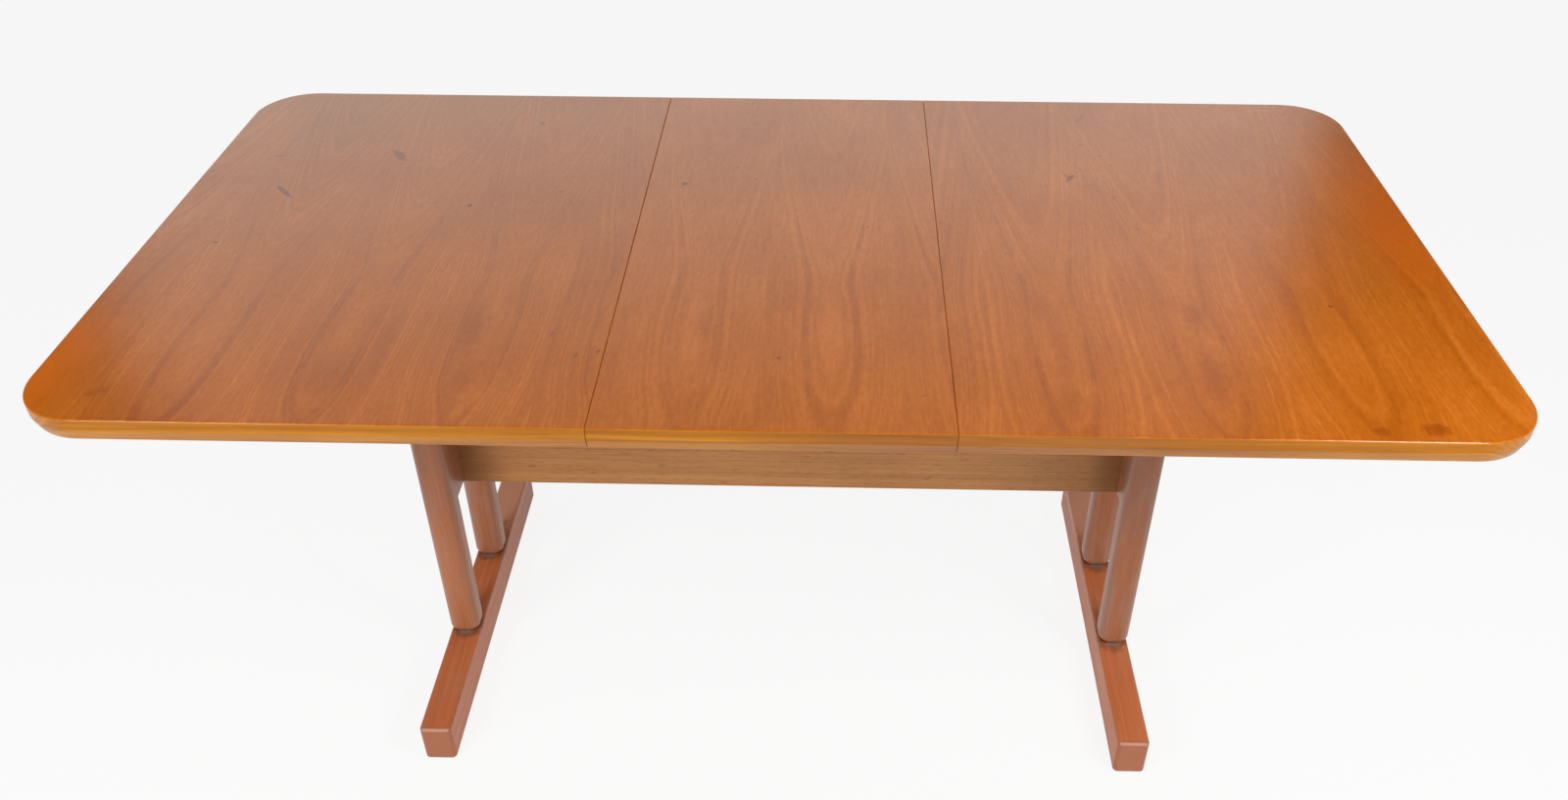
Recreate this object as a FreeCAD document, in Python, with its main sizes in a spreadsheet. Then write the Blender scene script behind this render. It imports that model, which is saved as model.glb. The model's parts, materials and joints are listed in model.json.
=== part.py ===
import FreeCAD, Part
import os
import types

import Sketcher
from FreeCAD import Placement, Rotation, Vector

# An extending dining table on a trestle base. Its top is two halves with a loose leaf between
# them, all three lipped in solid wood and veneered right over the lippings. Each half slides on
# a pair of runners along two fixed slide rails. Those lie on two bearers, and each bearer stands
# on a pair of round-edged columns that are joined by a cross rail and stand on one long foot. A
# stretcher joins the two trestles.
#
# X runs along the table, Y across it and Z up. The origin is on the floor under the middle of
# the top. Everything is drawn with the leaf in and the halves closed up against it.

# Every size that can be set by itself, in millimetres, with what it measures.
SIZES = {
    "table_length": (1690, "whole length with the leaf in"),
    "table_width": (860, "whole width"),
    "table_height": (735, "floor to the top's surface"),
    "leaf_length": (404, "distance between the two seams"),
    "corner_radius": (80, "top's corners, seen from above"),
    "core_thickness": (22, "board inside the lippings, with its veneer"),
    "veneer_thickness": (0.8, "veneer over the board and its lippings"),
    "lipping_height": (30, "edge of the top, as seen from the side"),
    "lipping_width": (24, "lipping, from its outer face to the board"),
    "bevel_height": (14, "sloping lower part of the edge"),
    "bevel_inset": (5, "how far that slope leans in"),
    "bevel_round": (5, "rounding where the slope starts"),
    "lipping_arris": (2, "rounding of the edge's top and bottom"),
    "seam_gap": (0.4, "gap between the leaf and each half"),
    "seam_arris": (0.7, "small bevel along each seam"),
    "foot_length": (600, "foot, across the table"),
    "foot_width": (46, "foot, along the table"),
    "foot_height": (63, "foot's bar, without its glides"),
    "foot_end_round": (7, "upright corners of a foot"),
    "foot_edge_round": (4, "top edges of a foot"),
    "foot_under_round": (2, "bottom edges of a foot"),
    "glide_diameter": (24, "glide under a foot"),
    "glide_thickness": (5, "glide"),
    "glide_stand": (1.5, "how far a glide stands out"),
    "glide_inset": (42, "foot's end to a glide's middle"),
    "trestle_spread": (1022, "middle of one trestle to the other"),
    "column_spread": (174, "middle of one column to the other"),
    "column_width": (46, "column, across its flats"),
    "column_round": (17, "upright corners of a column"),
    "column_toe_ease": (2, "how much less a column's toe is rounded than its corners"),
    "tenon_diameter": (24, "round tenons of a column"),
    "tenon_length": (32, "round tenons of a column"),
    "cross_rail_thickness": (22, "cross rail between two columns"),
    "stretcher_rise": (295, "floor to the stretcher and cross rails"),
    "stretcher_height": (115, "stretcher and cross rails"),
    "stretcher_thickness": (22, "stretcher"),
    "rail_edge_round": (3, "edges of the stretcher and cross rails"),
    "dowel_diameter": (10, "dowels that join cross rails to columns"),
    "dowel_length": (44, "dowels"),
    "dowel_edge": (30, "edge of a cross rail to a dowel's middle"),
    "bolt_diameter": (8, "stretcher bolts"),
    "bolt_reach": (60, "bolt, inside the stretcher"),
    "bolt_head_diameter": (13, "stretcher bolts"),
    "bolt_head_height": (8, "stretcher bolts"),
    "bolt_edge": (32, "edge of the stretcher to a bolt's middle"),
    "barrel_diameter": (14, "barrel nuts in the stretcher"),
    "barrel_length": (18, "barrel nuts"),
    "barrel_setback": (44, "stretcher's end to a barrel nut's middle"),
    "bearer_length": (560, "bearer, across the table"),
    "bearer_width": (46, "bearer, along the table"),
    "bearer_height": (50, "bearer"),
    "bearer_flat_margin": (5, "slide rail to the start of a bearer's taper"),
    "bearer_tip_height": (26, "bearer's end"),
    "slide_rail_overhang": (69, "slide rail, beyond the middle of a bearer"),
    "slide_rail_spread": (300, "middle of one slide rail to the other"),
    "slide_rail_thickness": (30, "fixed slide rails"),
    "slide_rail_height": (56, "fixed slide rails"),
    "slide_gap": (0.3, "running clearance of the slides"),
    "tongue_depth": (8, "tongue of a runner, in its groove"),
    "tongue_height": (10, "tongue of a runner"),
    "tongue_drop": (22, "underside of the top to the tongue's middle"),
    "groove_spare": (1, "groove beyond the tongue's edge"),
    "runner_thickness": (20, "runners under the halves"),
    "runner_height": (44, "runners under the halves"),
    "runner_end_gap": (102, "outer end of a runner to the batten"),
    "runner_overlap": (80, "how far a runner reaches under the leaf"),
    "pull_travel": (25, "how far a half pulls out past the leaf"),
    "stop_pin_diameter": (5, "stop pins across the grooves"),
    "stop_pin_length": (38, "stop pins"),
    "stop_pin_place": (300, "middle of the table to a stop pin"),
    "stop_spare": (0.5, "gap left at each end of the travel"),
    "tie_width": (60, "tie under the slide rails"),
    "tie_thickness": (18, "tie under the slide rails"),
    "batten_end_gap": (86, "end of a batten to the side lipping"),
    "batten_width": (36, "batten"),
    "batten_height": (22, "batten"),
    "batten_inset": (8, "end lipping to the batten"),
    "screw_diameter": (4.5, "wood screws"),
    "screw_head_diameter": (9, "wood screws"),
    "screw_head_height": (3, "wood screws"),
    "screw_sink": (1, "screw head below the surface"),
    "screw_bite": (12, "wood screw, in the wood that it holds"),
    "screw_edge": (24, "end of a piece to its first screw"),
    "frame_screw_diameter": (6, "screws from a bearer into a slide rail"),
    "frame_screw_pitch": (24, "those two screws apart"),
    "frame_screw_bite": (24, "those screws, in the slide rail"),
    "peg_diameter": (8, "locating pegs in the seams"),
    "peg_bite": (20, "peg, glued in its half"),
    "peg_reach": (12, "peg, standing out of its half"),
    "peg_drop": (11, "top's surface to a peg's middle"),
    "hook_thickness": (2.5, "seam hooks"),
    "hook_width": (16, "seam hooks"),
    "hook_nose": (10, "seam hook, beyond its keeper"),
    "hook_end_round": (6, "corners of a seam hook"),
    "hook_gap": (0.5, "board to hook, and hook to screw head"),
    "hook_inset": (106, "side lipping to a hook's pivot"),
    "pivot_inset": (50, "seam to the pivot screw of a hook"),
    "keeper_inset": (25, "seam to a keeper screw"),
    "hook_screw_diameter": (5, "pivot and keeper screws"),
    "hook_screw_head": (10, "pivot and keeper screws"),
    "hook_screw_head_height": (2, "pivot and keeper screws"),
    "hook_swing_relief": (1, "notch, widened for the hook's swing"),
    "fit_gap": (0.2, "all round a dowel, tenon, bolt, screw or peg"),
    "hole_spare": (0.5, "hole deeper than what goes in it"),
    "overrun": (2, "how far a cut runs past the wood"),
}
# Where the pegs of a half are, as shares of half the width. The leaf and the other half have
# the slots and holes for them.
PEG_SHARES = (-0.78, -0.14, 0.5)
# Where the batten's screws are, as shares of half its length.
BATTEN_SCREW_SHARES = (-0.9, -0.3, 0.3, 0.9)
RUNNER_SCREWS = 4
# Half a turn, a quarter turn, and a rounded corner up to its mitre.
TURNED = 180
QUARTER = 90
MITRE = 45
NEAR = 1e-4

PLANES = {"XY": ("XY_Plane", 1), "XZ": ("XZ_Plane", -1), "YZ": ("YZ_Plane", 1)}
SIDES = {-1: "front", 1: "back"}
ENDS = {-1: "left", 1: "right"}

doc = FreeCAD.newDocument("ExtendingTable")
nodes = []


class Length:
    """A length as an expression on the sheet, with the number that it gives."""

    def __init__(self, text, value):
        self.text = text
        self.value = value

    def combine(self, sign, other, value):
        return Length(f"({self.text} {sign} {length(other).text})", value)

    def __add__(self, other):
        return self.combine("+", other, self.value + length(other).value)

    def __sub__(self, other):
        return self.combine("-", other, self.value - length(other).value)

    def __rsub__(self, other):
        return length(other) - self

    def __radd__(self, other):
        return length(other) + self

    def __mul__(self, share):
        return Length(f"({self.text} * {share})", self.value * share)

    __rmul__ = __mul__

    def __truediv__(self, share):
        return Length(f"({self.text} / {share})", self.value / share)

    def __neg__(self):
        return self * -1


def length(value):
    """Zero, or a length that is one already."""
    return value if isinstance(value, Length) else Length(str(value), value)


def fill_sheet():
    """The sizes in a sheet, and the same sizes as lengths."""
    sheet = doc.addObject("Spreadsheet::Sheet", "Sizes")
    lengths = {}
    for row, (name, (value, note)) in enumerate(SIZES.items(), start=1):
        sheet.set(f"A{row}", note)
        sheet.set(f"B{row}", str(value))
        sheet.setAlias(f"B{row}", name)
        lengths[name] = Length(f"Sizes.{name}", value)
    doc.recompute()
    return types.SimpleNamespace(**lengths)


size = fill_sheet()

# Levels and places that several pieces share.
half_length = size.table_length / 2
half_width = size.table_width / 2
seam = size.leaf_length / 2
board_edge = half_width - size.lipping_width
corner_x = half_length - size.corner_radius
corner_y = half_width - size.corner_radius
top = size.table_height
veneer_under = top - size.veneer_thickness
board_under = top - size.core_thickness
lipping_under = top - size.lipping_height
foot_top = size.glide_stand + size.foot_height
slide_rail_top = board_under - size.slide_gap
slide_rail_under = slide_rail_top - size.slide_rail_height
bearer_under = slide_rail_under - size.bearer_height
runner_under = board_under - size.runner_height
batten_under = board_under - size.batten_height
tongue_middle = board_under - size.tongue_drop
peg_level = top - size.peg_drop
hook_top = board_under - size.hook_gap
hook_under = hook_top - size.hook_thickness
trestle_x = size.trestle_spread / 2
column_y = size.column_spread / 2
slide_rail_y = size.slide_rail_spread / 2
slide_rail_end = trestle_x + size.slide_rail_overhang
cross_rail_end = column_y - size.column_width / 2
stretcher_end = trestle_x - size.cross_rail_thickness / 2
bolt_levels = (
    size.stretcher_rise + size.bolt_edge,
    size.stretcher_rise + size.stretcher_height - size.bolt_edge,
)
dowel_levels = (
    size.stretcher_rise + size.dowel_edge,
    size.stretcher_rise + size.stretcher_height - size.dowel_edge,
)
glide_y = size.foot_length / 2 - size.glide_inset
hook_reach = size.pivot_inset + size.keeper_inset
hook_y = board_edge - size.hook_inset
peg_places = [half_width * share for share in PEG_SHARES]
# The left half's runners lie outside the slide rails and the right half's inside them, so that
# they pass each other when the table is closed.
runner_offset = size.slide_rail_thickness / 2 + size.slide_gap + size.runner_thickness / 2
runner_places = {-1: slide_rail_y + runner_offset, 1: slide_rail_y - runner_offset}
runner_inner = -(seam - size.runner_overlap)
batten_outer = -(half_length - size.lipping_width - size.batten_inset)
batten_y = board_edge - size.batten_end_gap
runner_outer = batten_outer + size.batten_width + size.runner_end_gap


def widened(diameter):
    """A hole's diameter, with the fit all round."""
    return diameter + size.fit_gap * 2


class Drawing:
    """A sketch on one of a body's own planes, at a level along that plane's axis."""

    def __init__(self, body, plane, level):
        role, self.sign = PLANES[plane]
        self.sketch = body.newObject("Sketcher::SketchObject", "Sketch")
        support = next(f for f in body.Origin.OriginFeatures if f.Role == role)
        self.sketch.AttachmentSupport = (support, [""])
        self.sketch.MapMode = "FlatFace"
        level = length(level) * self.sign
        self.sketch.setExpression("AttachmentOffset.Base.z", level.text)

    def pin(self, edge, end, x, y):
        """Ties a point to its distances from the two axes."""
        for kind, axis, value in (("DistanceX", -2, length(x)), ("DistanceY", -1, length(y))):
            if value.value == 0:
                self.sketch.addConstraint(Sketcher.Constraint("PointOnObject", edge, end, axis))
                continue
            constraint = Sketcher.Constraint(kind, -1, 1, edge, end, value.value)
            index = self.sketch.addConstraint(constraint)
            self.sketch.setExpression(f"Constraints[{index}]", value.text)

    def polygon(self, points):
        """A closed outline of straight lines through the points."""
        places = [Vector(length(x).value, length(y).value, 0) for x, y in points]
        first = len(self.sketch.Geometry)
        count = len(points)
        for i in range(count):
            self.sketch.addGeometry(Part.LineSegment(places[i], places[(i + 1) % count]), False)
        for i in range(count):
            following = first + (i + 1) % count
            self.sketch.addConstraint(Sketcher.Constraint("Coincident", first + i, 2, following, 1))
        for i, (x, y) in enumerate(points):
            self.pin(first + i, 1, x, y)
        return self

    def rectangle(self, x_low, x_high, y_low, y_high):
        """A rectangle between two places each way."""
        return self.polygon([(x_low, y_low), (x_high, y_low), (x_high, y_high), (x_low, y_high)])

    def circle(self, x, y, diameter):
        """A circle about a point."""
        centre = Vector(length(x).value, length(y).value, 0)
        shape = Part.Circle(centre, Vector(0, 0, 1), diameter.value / 2)
        edge = self.sketch.addGeometry(shape, False)
        self.pin(edge, 3, x, y)
        constraint = Sketcher.Constraint("Diameter", edge, diameter.value)
        index = self.sketch.addConstraint(constraint)
        self.sketch.setExpression(f"Constraints[{index}]", diameter.text)
        return self

    def axis(self, x, low, high):
        """An upright construction line to turn the drawing about."""
        start = Vector(x.value, low.value, 0)
        line = Part.LineSegment(start, Vector(x.value, high.value, 0))
        edge = self.sketch.addGeometry(line, True)
        self.pin(edge, 1, x, low)
        self.pin(edge, 2, x, high)
        return self


class Piece:
    """One piece of the table, as a body with a label of its own."""

    def __init__(self, label):
        self.body = doc.addObject("PartDesign::Body", label)
        self.body.Label = label
        nodes.append(self.body)

    def draw(self, plane, level):
        return Drawing(self.body, plane, level)

    def extrude(self, kind, drawing, depth, reverse):
        feature = self.body.newObject(f"PartDesign::{kind}", kind)
        feature.Profile = drawing.sketch
        feature.setExpression("Length", depth.text)
        feature.Reversed = reverse
        drawing.sketch.Visibility = False
        return self

    def pad(self, drawing, depth, towards=1):
        """Adds wood, towards the high or the low side of the drawing's axis."""
        return self.extrude("Pad", drawing, depth, towards * drawing.sign < 0)

    def pocket(self, drawing, depth, towards=1):
        """Cuts wood away, towards the high or the low side of the drawing's axis."""
        return self.extrude("Pocket", drawing, depth, towards * drawing.sign > 0)

    def spin(self, drawing, degrees, reverse):
        """Turns a drawing about its own construction line."""
        feature = self.body.newObject("PartDesign::Revolution", "Revolution")
        feature.Profile = drawing.sketch
        feature.ReferenceAxis = (drawing.sketch, ["Axis0"])
        feature.Angle = degrees
        feature.Reversed = reverse
        return self

    def bore(self, plane, level, towards, centres, diameter, depth):
        """Round holes of one size, from one face."""
        drawing = self.draw(plane, level)
        for x, y in centres:
            drawing.circle(x, y, diameter)
        return self.pocket(drawing, depth, towards)

    def soften(self, kind, amount, chosen):
        """Rounds or bevels the edges whose ends and middle pass a test."""
        doc.recompute()
        base = self.body.Tip
        names = [f"Edge{i}" for i, edge in enumerate(base.Shape.Edges, start=1) if chosen(edge)]
        if not names:
            raise ValueError(f"{self.body.Label}: no edge to soften")
        feature = self.body.newObject(f"PartDesign::{kind}", kind)
        feature.Base = (base, names)
        feature.setExpression("Radius" if kind == "Fillet" else "Size", amount.text)
        return self

    def round_edges(self, radius, chosen):
        return self.soften("Fillet", radius, chosen)

    def bevel_edges(self, amount, chosen):
        return self.soften("Chamfer", amount, chosen)

    def place(self, x=0, y=0, degrees=0):
        """Moves the piece to its place, after a turn about its own upright axis."""
        self.body.Placement = Placement(Vector(0, 0, 0), Rotation(Vector(0, 0, 1), degrees))
        self.body.setExpression("Placement.Base.x", length(x).text)
        self.body.setExpression("Placement.Base.y", length(y).text)
        return self


def middle(edge):
    """The point halfway along an edge."""
    return edge.valueAt((edge.FirstParameter + edge.LastParameter) / 2)


def at(value, place):
    """Whether a coordinate is at a named place."""
    return abs(value - length(place).value) < NEAR


def upright(edge):
    """Whether an edge runs straight up."""
    low, high = edge.BoundBox.ZMin, edge.BoundBox.ZMax
    flat = edge.BoundBox.XLength + edge.BoundBox.YLength
    return flat < NEAR and high - low > NEAR


def level_at(place):
    """A test for edges that lie flat at a level."""
    return lambda edge: at(edge.BoundBox.ZMin, place) and at(edge.BoundBox.ZMax, place)


def corner_at(face):
    """A test for the upright edges at the two ends of a face across the table."""
    return lambda edge: upright(edge) and at(middle(edge).x, face)


def along(axis, edge):
    """Whether an edge is straight and runs along X or Y."""
    box = edge.BoundBox
    spans = {"X": box.XLength, "Y": box.YLength, "Z": box.ZLength}
    return spans.pop(axis) > NEAR and max(spans.values()) < NEAR


def rod(name, diameter, depth, place, direction):
    """A round bar from a point, along a direction."""
    bar = doc.addObject("Part::Cylinder", name)
    bar.setExpression("Radius", (diameter / 2).text)
    bar.setExpression("Height", depth.text)
    bar.Placement = Placement(Vector(0, 0, 0), Rotation(Vector(0, 0, 1), Vector(*direction)))
    for axis, value in zip("xyz", place):
        bar.setExpression(f"Placement.Base.{axis}", length(value).text)
    return bar


def headed(head, shank, place, direction):
    """A screw or bolt as one solid: a round head, and a shank that starts where it ends."""
    head_diameter, head_height = head
    shank_diameter, shank_length = shank
    step = Vector(*direction)
    start = [value + head_height * part for value, part in zip(map(length, place), step)]
    fused = doc.addObject("Part::MultiFuse", "Headed")
    fused.Shapes = [
        rod("Head", head_diameter, head_height, place, direction),
        rod("Shank", shank_diameter, shank_length, start, direction),
    ]
    return fused


def group(label, members):
    """Like pieces that share one node, each a solid of its own."""
    compound = doc.addObject("Part::Compound", label)
    compound.Label = label
    compound.Links = members
    nodes.append(compound)
    return compound


def turned(place, half):
    """A place on the left half, or where half a turn takes it on the right half."""
    x, y, z = place
    return (x, y, z) if half < 0 else (-length(x), -length(y), z)


# The trestles


def make_foot(end):
    """A long bar with eased edges, two sockets on top and two recesses for its glides."""
    x, y = size.foot_width / 2, size.foot_length / 2
    piece = Piece(f"foot_{ENDS[end]}")
    piece.pad(piece.draw("XY", size.glide_stand).rectangle(-x, x, -y, y), size.foot_height)
    piece.round_edges(size.foot_end_round, upright)
    piece.round_edges(size.foot_edge_round, level_at(foot_top))
    piece.round_edges(size.foot_under_round, level_at(size.glide_stand))
    sockets = [(0, -column_y), (0, column_y)]
    depth = size.tenon_length + size.hole_spare
    piece.bore("XY", foot_top, -1, sockets, widened(size.tenon_diameter), depth)
    recesses = [(0, -glide_y), (0, glide_y)]
    depth = size.glide_thickness - size.glide_stand
    piece.bore("XY", size.glide_stand, 1, recesses, widened(size.glide_diameter), depth)
    piece.place(trestle_x * end, 0)


def make_column(end, side):
    """A square column with heavily rounded corners, a rounded toe and a tenon at each end."""
    half = size.column_width / 2
    piece = Piece(f"column_{ENDS[end]}_{SIDES[side]}")
    section = piece.draw("XY", foot_top).rectangle(-half, half, -half, half)
    piece.pad(section, bearer_under - foot_top)
    piece.round_edges(size.column_round, upright)
    piece.round_edges(size.column_round - size.column_toe_ease, level_at(foot_top))
    lower = piece.draw("XY", foot_top).circle(0, 0, size.tenon_diameter)
    piece.pad(lower, size.tenon_length, -1)
    upper = piece.draw("XY", bearer_under).circle(0, 0, size.tenon_diameter)
    piece.pad(upper, size.tenon_length)
    holes = [(0, level) for level in dowel_levels]
    depth = size.dowel_length / 2 + size.hole_spare
    piece.bore("XZ", half, -1, holes, widened(size.dowel_diameter), depth)
    piece.place(trestle_x * end, column_y * side, 0 if side < 0 else TURNED)


def make_cross_rail(end):
    """The rail between two columns, bored for its dowels and for the stretcher's bolts."""
    x = size.cross_rail_thickness / 2
    piece = Piece(f"cross_rail_{ENDS[end]}")
    outline = piece.draw("XY", size.stretcher_rise)
    outline.rectangle(-x, x, -cross_rail_end, cross_rail_end)
    piece.pad(outline, size.stretcher_height)
    piece.round_edges(size.rail_edge_round, lambda edge: along("Y", edge))
    holes = [(0, level) for level in dowel_levels]
    depth = size.dowel_length / 2 + size.hole_spare
    for side in SIDES:
        face = cross_rail_end * side
        piece.bore("XZ", face, -side, holes, widened(size.dowel_diameter), depth)
    bolts = [(0, level) for level in bolt_levels]
    through = size.cross_rail_thickness + size.overrun
    piece.bore("YZ", -x, 1, bolts, widened(size.bolt_diameter), through)
    sink = size.bolt_head_height + size.screw_sink
    piece.bore("YZ", -x, 1, bolts, widened(size.bolt_head_diameter), sink)
    piece.place(trestle_x * end, 0, 0 if end < 0 else TURNED)


def make_stretcher():
    """The long board between the trestles, bored at its ends for bolts and barrel nuts."""
    y = size.stretcher_thickness / 2
    piece = Piece("stretcher")
    outline = piece.draw("XY", size.stretcher_rise).rectangle(-stretcher_end, stretcher_end, -y, y)
    piece.pad(outline, size.stretcher_height)
    piece.round_edges(size.rail_edge_round, lambda edge: along("X", edge))
    bolts = [(0, level) for level in bolt_levels]
    depth = size.bolt_reach + size.hole_spare
    for end in ENDS:
        face = stretcher_end * end
        piece.bore("YZ", face, -end, bolts, widened(size.bolt_diameter), depth)
        nuts = [((stretcher_end - size.barrel_setback) * end, level) for level in bolt_levels]
        depth_nut = (size.stretcher_thickness + size.barrel_length) / 2 + size.hole_spare
        piece.bore("XZ", y, -1, nuts, widened(size.barrel_diameter), depth_nut)


def make_trestle_fittings():
    """Glides, dowels, bolts and barrel nuts, each kind as one group."""
    glides, dowels, bolts, nuts = [], [], [], []
    half = size.dowel_length / 2
    sink = trestle_x + size.cross_rail_thickness / 2 - size.screw_sink
    shank = sink - size.bolt_head_height - stretcher_end + size.bolt_reach
    for end in ENDS:
        x = trestle_x * end
        for side in SIDES:
            place = (x, glide_y * side, 0)
            glides.append(rod("Glide", size.glide_diameter, size.glide_thickness, place, (0, 0, 1)))
            for level in dowel_levels:
                place = (x, cross_rail_end * side - half, level)
                bar = rod("Dowel", size.dowel_diameter, size.dowel_length, place, (0, 1, 0))
                dowels.append(bar)
        for level in bolt_levels:
            head = (size.bolt_head_diameter, size.bolt_head_height)
            place = (sink * end, 0, level)
            bolts.append(headed(head, (size.bolt_diameter, shank), place, (-end, 0, 0)))
            place = ((stretcher_end - size.barrel_setback) * end, -size.barrel_length / 2, level)
            barrel = rod("Barrel", size.barrel_diameter, size.barrel_length, place, (0, 1, 0))
            start = ((stretcher_end - size.barrel_setback - size.barrel_diameter) * end, 0, level)
            hole = rod(
                "Thread", widened(size.bolt_diameter), size.barrel_diameter * 2, start, (end, 0, 0)
            )
            nut = doc.addObject("Part::Cut", "Nut")
            nut.Base = barrel
            nut.Tool = hole
            nuts.append(nut)
    group("foot_glides", glides)
    group("cross_rail_dowels", dowels)
    group("stretcher_bolts", bolts)
    group("barrel_nuts", nuts)


# The fixed frame under the top


def make_bearer(end):
    """The bar on top of two columns, tapered below at both ends."""
    x, y = size.bearer_width / 2, size.bearer_length / 2
    level = slide_rail_under
    tip = level - size.bearer_tip_height
    flat = slide_rail_y + size.slide_rail_thickness / 2 + size.bearer_flat_margin
    piece = Piece(f"bearer_{ENDS[end]}")
    outline = piece.draw("YZ", -x)
    outline.polygon(
        [(-y, level), (-y, tip), (-flat, bearer_under), (flat, bearer_under), (y, tip), (y, level)]
    )
    piece.pad(outline, size.bearer_width)
    sockets = [(0, -column_y), (0, column_y)]
    depth = size.tenon_length + size.hole_spare
    piece.bore("XY", bearer_under, 1, sockets, widened(size.tenon_diameter), depth)
    step = size.frame_screw_pitch / 2
    screws = [(step * i, slide_rail_y * side) for i in (-1, 1) for side in SIDES]
    through = size.bearer_height + size.overrun
    piece.bore("XY", bearer_under, 1, screws, widened(size.frame_screw_diameter), through)
    sink = size.bolt_head_height / 2 + size.screw_sink
    piece.bore("XY", bearer_under, 1, screws, widened(size.bolt_head_diameter), sink)
    piece.place(trestle_x * end, 0)


def make_slide_rail(side):
    """A fixed rail, grooved on both faces, with a stop pin down through each groove."""
    x, half = slide_rail_end, size.slide_rail_thickness / 2
    y = slide_rail_y * side
    piece = Piece(f"slide_rail_{SIDES[side]}")
    outline = piece.draw("XY", slide_rail_under).rectangle(-x, x, y - half, y + half)
    piece.pad(outline, size.slide_rail_height)
    low = tongue_middle - size.tongue_height / 2 - size.slide_gap
    high = tongue_middle + size.tongue_height / 2 + size.slide_gap
    depth = size.tongue_depth + size.groove_spare
    for face in SIDES:
        groove = piece.draw("YZ", -(x + size.overrun))
        edge = y + half * face
        inner, outer = edge - depth * face, edge + size.overrun * face
        groove.rectangle(*((inner, outer) if face > 0 else (outer, inner)), low, high)
        piece.pocket(groove, (x + size.overrun) * 2)
    frame = [
        (trestle_x * end + size.frame_screw_pitch / 2 * i, y) for end in ENDS for i in (-1, 1)
    ]
    bite = size.frame_screw_bite + size.hole_spare
    piece.bore("XY", slide_rail_under, 1, frame, widened(size.frame_screw_diameter), bite)
    tie = [(size.tie_width / 4 * i, y) for i in (-1, 1)]
    bite = size.screw_bite + size.hole_spare
    piece.bore("XY", slide_rail_under, 1, tie, widened(size.screw_diameter), bite)
    pins = [stop_pin_place(half, side)[:2] for half in ENDS]
    sink = size.stop_pin_length + size.hole_spare
    piece.bore("XY", slide_rail_top, -1, pins, widened(size.stop_pin_diameter), sink)


def stop_pin_place(half, side):
    """A stop pin stands in the groove that faces one half's runner."""
    outward = side * -half
    inset = size.slide_rail_thickness / 2 - (size.tongue_depth + size.groove_spare) / 2
    return (size.stop_pin_place * half, slide_rail_y * side + inset * outward, slide_rail_top)


def make_rail_tie():
    """A flat piece under both slide rails that keeps them parallel."""
    x = size.tie_width / 2
    y = slide_rail_y + size.slide_rail_thickness / 2
    low = slide_rail_under - size.tie_thickness
    piece = Piece("rail_tie")
    piece.pad(piece.draw("XY", low).rectangle(-x, x, -y, y), size.tie_thickness)
    screws = [(size.tie_width / 4 * i, slide_rail_y * side) for i in (-1, 1) for side in SIDES]
    through = size.tie_thickness + size.overrun
    piece.bore("XY", low, 1, screws, widened(size.screw_diameter), through)
    sink = size.screw_head_height + size.screw_sink
    piece.bore("XY", low, 1, screws, widened(size.screw_head_diameter), sink)


def wood_screw(x, y, surface, joint):
    """A wood screw driven up through a piece from its underside and past the joint above it."""
    head = (size.screw_head_diameter, size.screw_head_height)
    start = surface + size.screw_sink
    shank = joint + size.screw_bite - start - size.screw_head_height
    return headed(head, (size.screw_diameter, shank), (x, y, start), (0, 0, 1))


def make_frame_fittings():
    """Screws and stop pins of the fixed frame."""
    long_screws, short_screws, pins = [], [], []
    low = slide_rail_under - size.tie_thickness
    start = bearer_under + size.screw_sink
    shank = slide_rail_under + size.frame_screw_bite - start - size.bolt_head_height / 2
    for side in SIDES:
        y = slide_rail_y * side
        for i in (-1, 1):
            short_screws.append(wood_screw(size.tie_width / 4 * i, y, low, slide_rail_under))
            for end in ENDS:
                x = trestle_x * end + size.frame_screw_pitch / 2 * i
                head = (size.bolt_head_diameter, size.bolt_head_height / 2)
                shape = (size.frame_screw_diameter, shank)
                long_screws.append(headed(head, shape, (x, y, start), (0, 0, 1)))
        for half in ENDS:
            x, y, z = stop_pin_place(half, side)
            place = (x, y, z - size.stop_pin_length)
            depth = size.stop_pin_length
            pins.append(rod("Pin", size.stop_pin_diameter, depth, place, (0, 0, 1)))
    group("bearer_screws", long_screws)
    group("tie_screws", short_screws)
    group("stop_pins", pins)


# The halves of the top. Both are drawn as the left one, and the right one is turned about.


def side_name(half, side):
    """Front or back, as the side lies once the right half has been turned."""
    return SIDES[side if half < 0 else -side]


def lipping_section(drawing, outer, inward):
    """The edge's section, from its outer face: upright above and leaning in below."""
    slope = lipping_under + size.bevel_height
    inner = outer + size.lipping_width * inward
    toe = outer + size.bevel_inset * inward
    points = [(outer, top), (outer, slope), (toe, lipping_under), (inner, lipping_under)]
    return drawing.polygon(points + [(inner, top)])


def on_outline(point):
    """How far a point lies inside the top's outline."""
    x, y = abs(point.x), abs(point.y)
    across, down = x - corner_x.value, y - corner_y.value
    if across > 0 and down > 0:
        return size.corner_radius.value - (across ** 2 + down ** 2) ** 0.5
    return min(half_length.value - x, half_width.value - y)


def outline_at(level, inset):
    """A test for flat edges that follow the outline at a level, from so far inside it."""

    def chosen(edge):
        points = (middle(edge), edge.Vertexes[0].Point)
        return level_at(level)(edge) and all(at(on_outline(point), inset) for point in points)

    return chosen


def soften_lipping(piece):
    """Rounds the edge's top, the start of its slope and its foot, in that order."""
    slope = lipping_under + size.bevel_height
    piece.round_edges(size.lipping_arris, outline_at(top, length(0)))
    piece.round_edges(size.bevel_round, outline_at(slope, length(0)))
    piece.round_edges(size.lipping_arris, outline_at(lipping_under, size.bevel_inset))


def seam_edges(face):
    """A test for the top and outer edges of a face at a seam."""

    def chosen(edge):
        box = edge.BoundBox
        in_face = at(box.XMin, face) and at(box.XMax, face)
        point = middle(edge)
        above = at(point.z, top)
        return in_face and (above or on_outline(point) < size.bevel_inset.value / 2)

    return chosen


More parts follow.
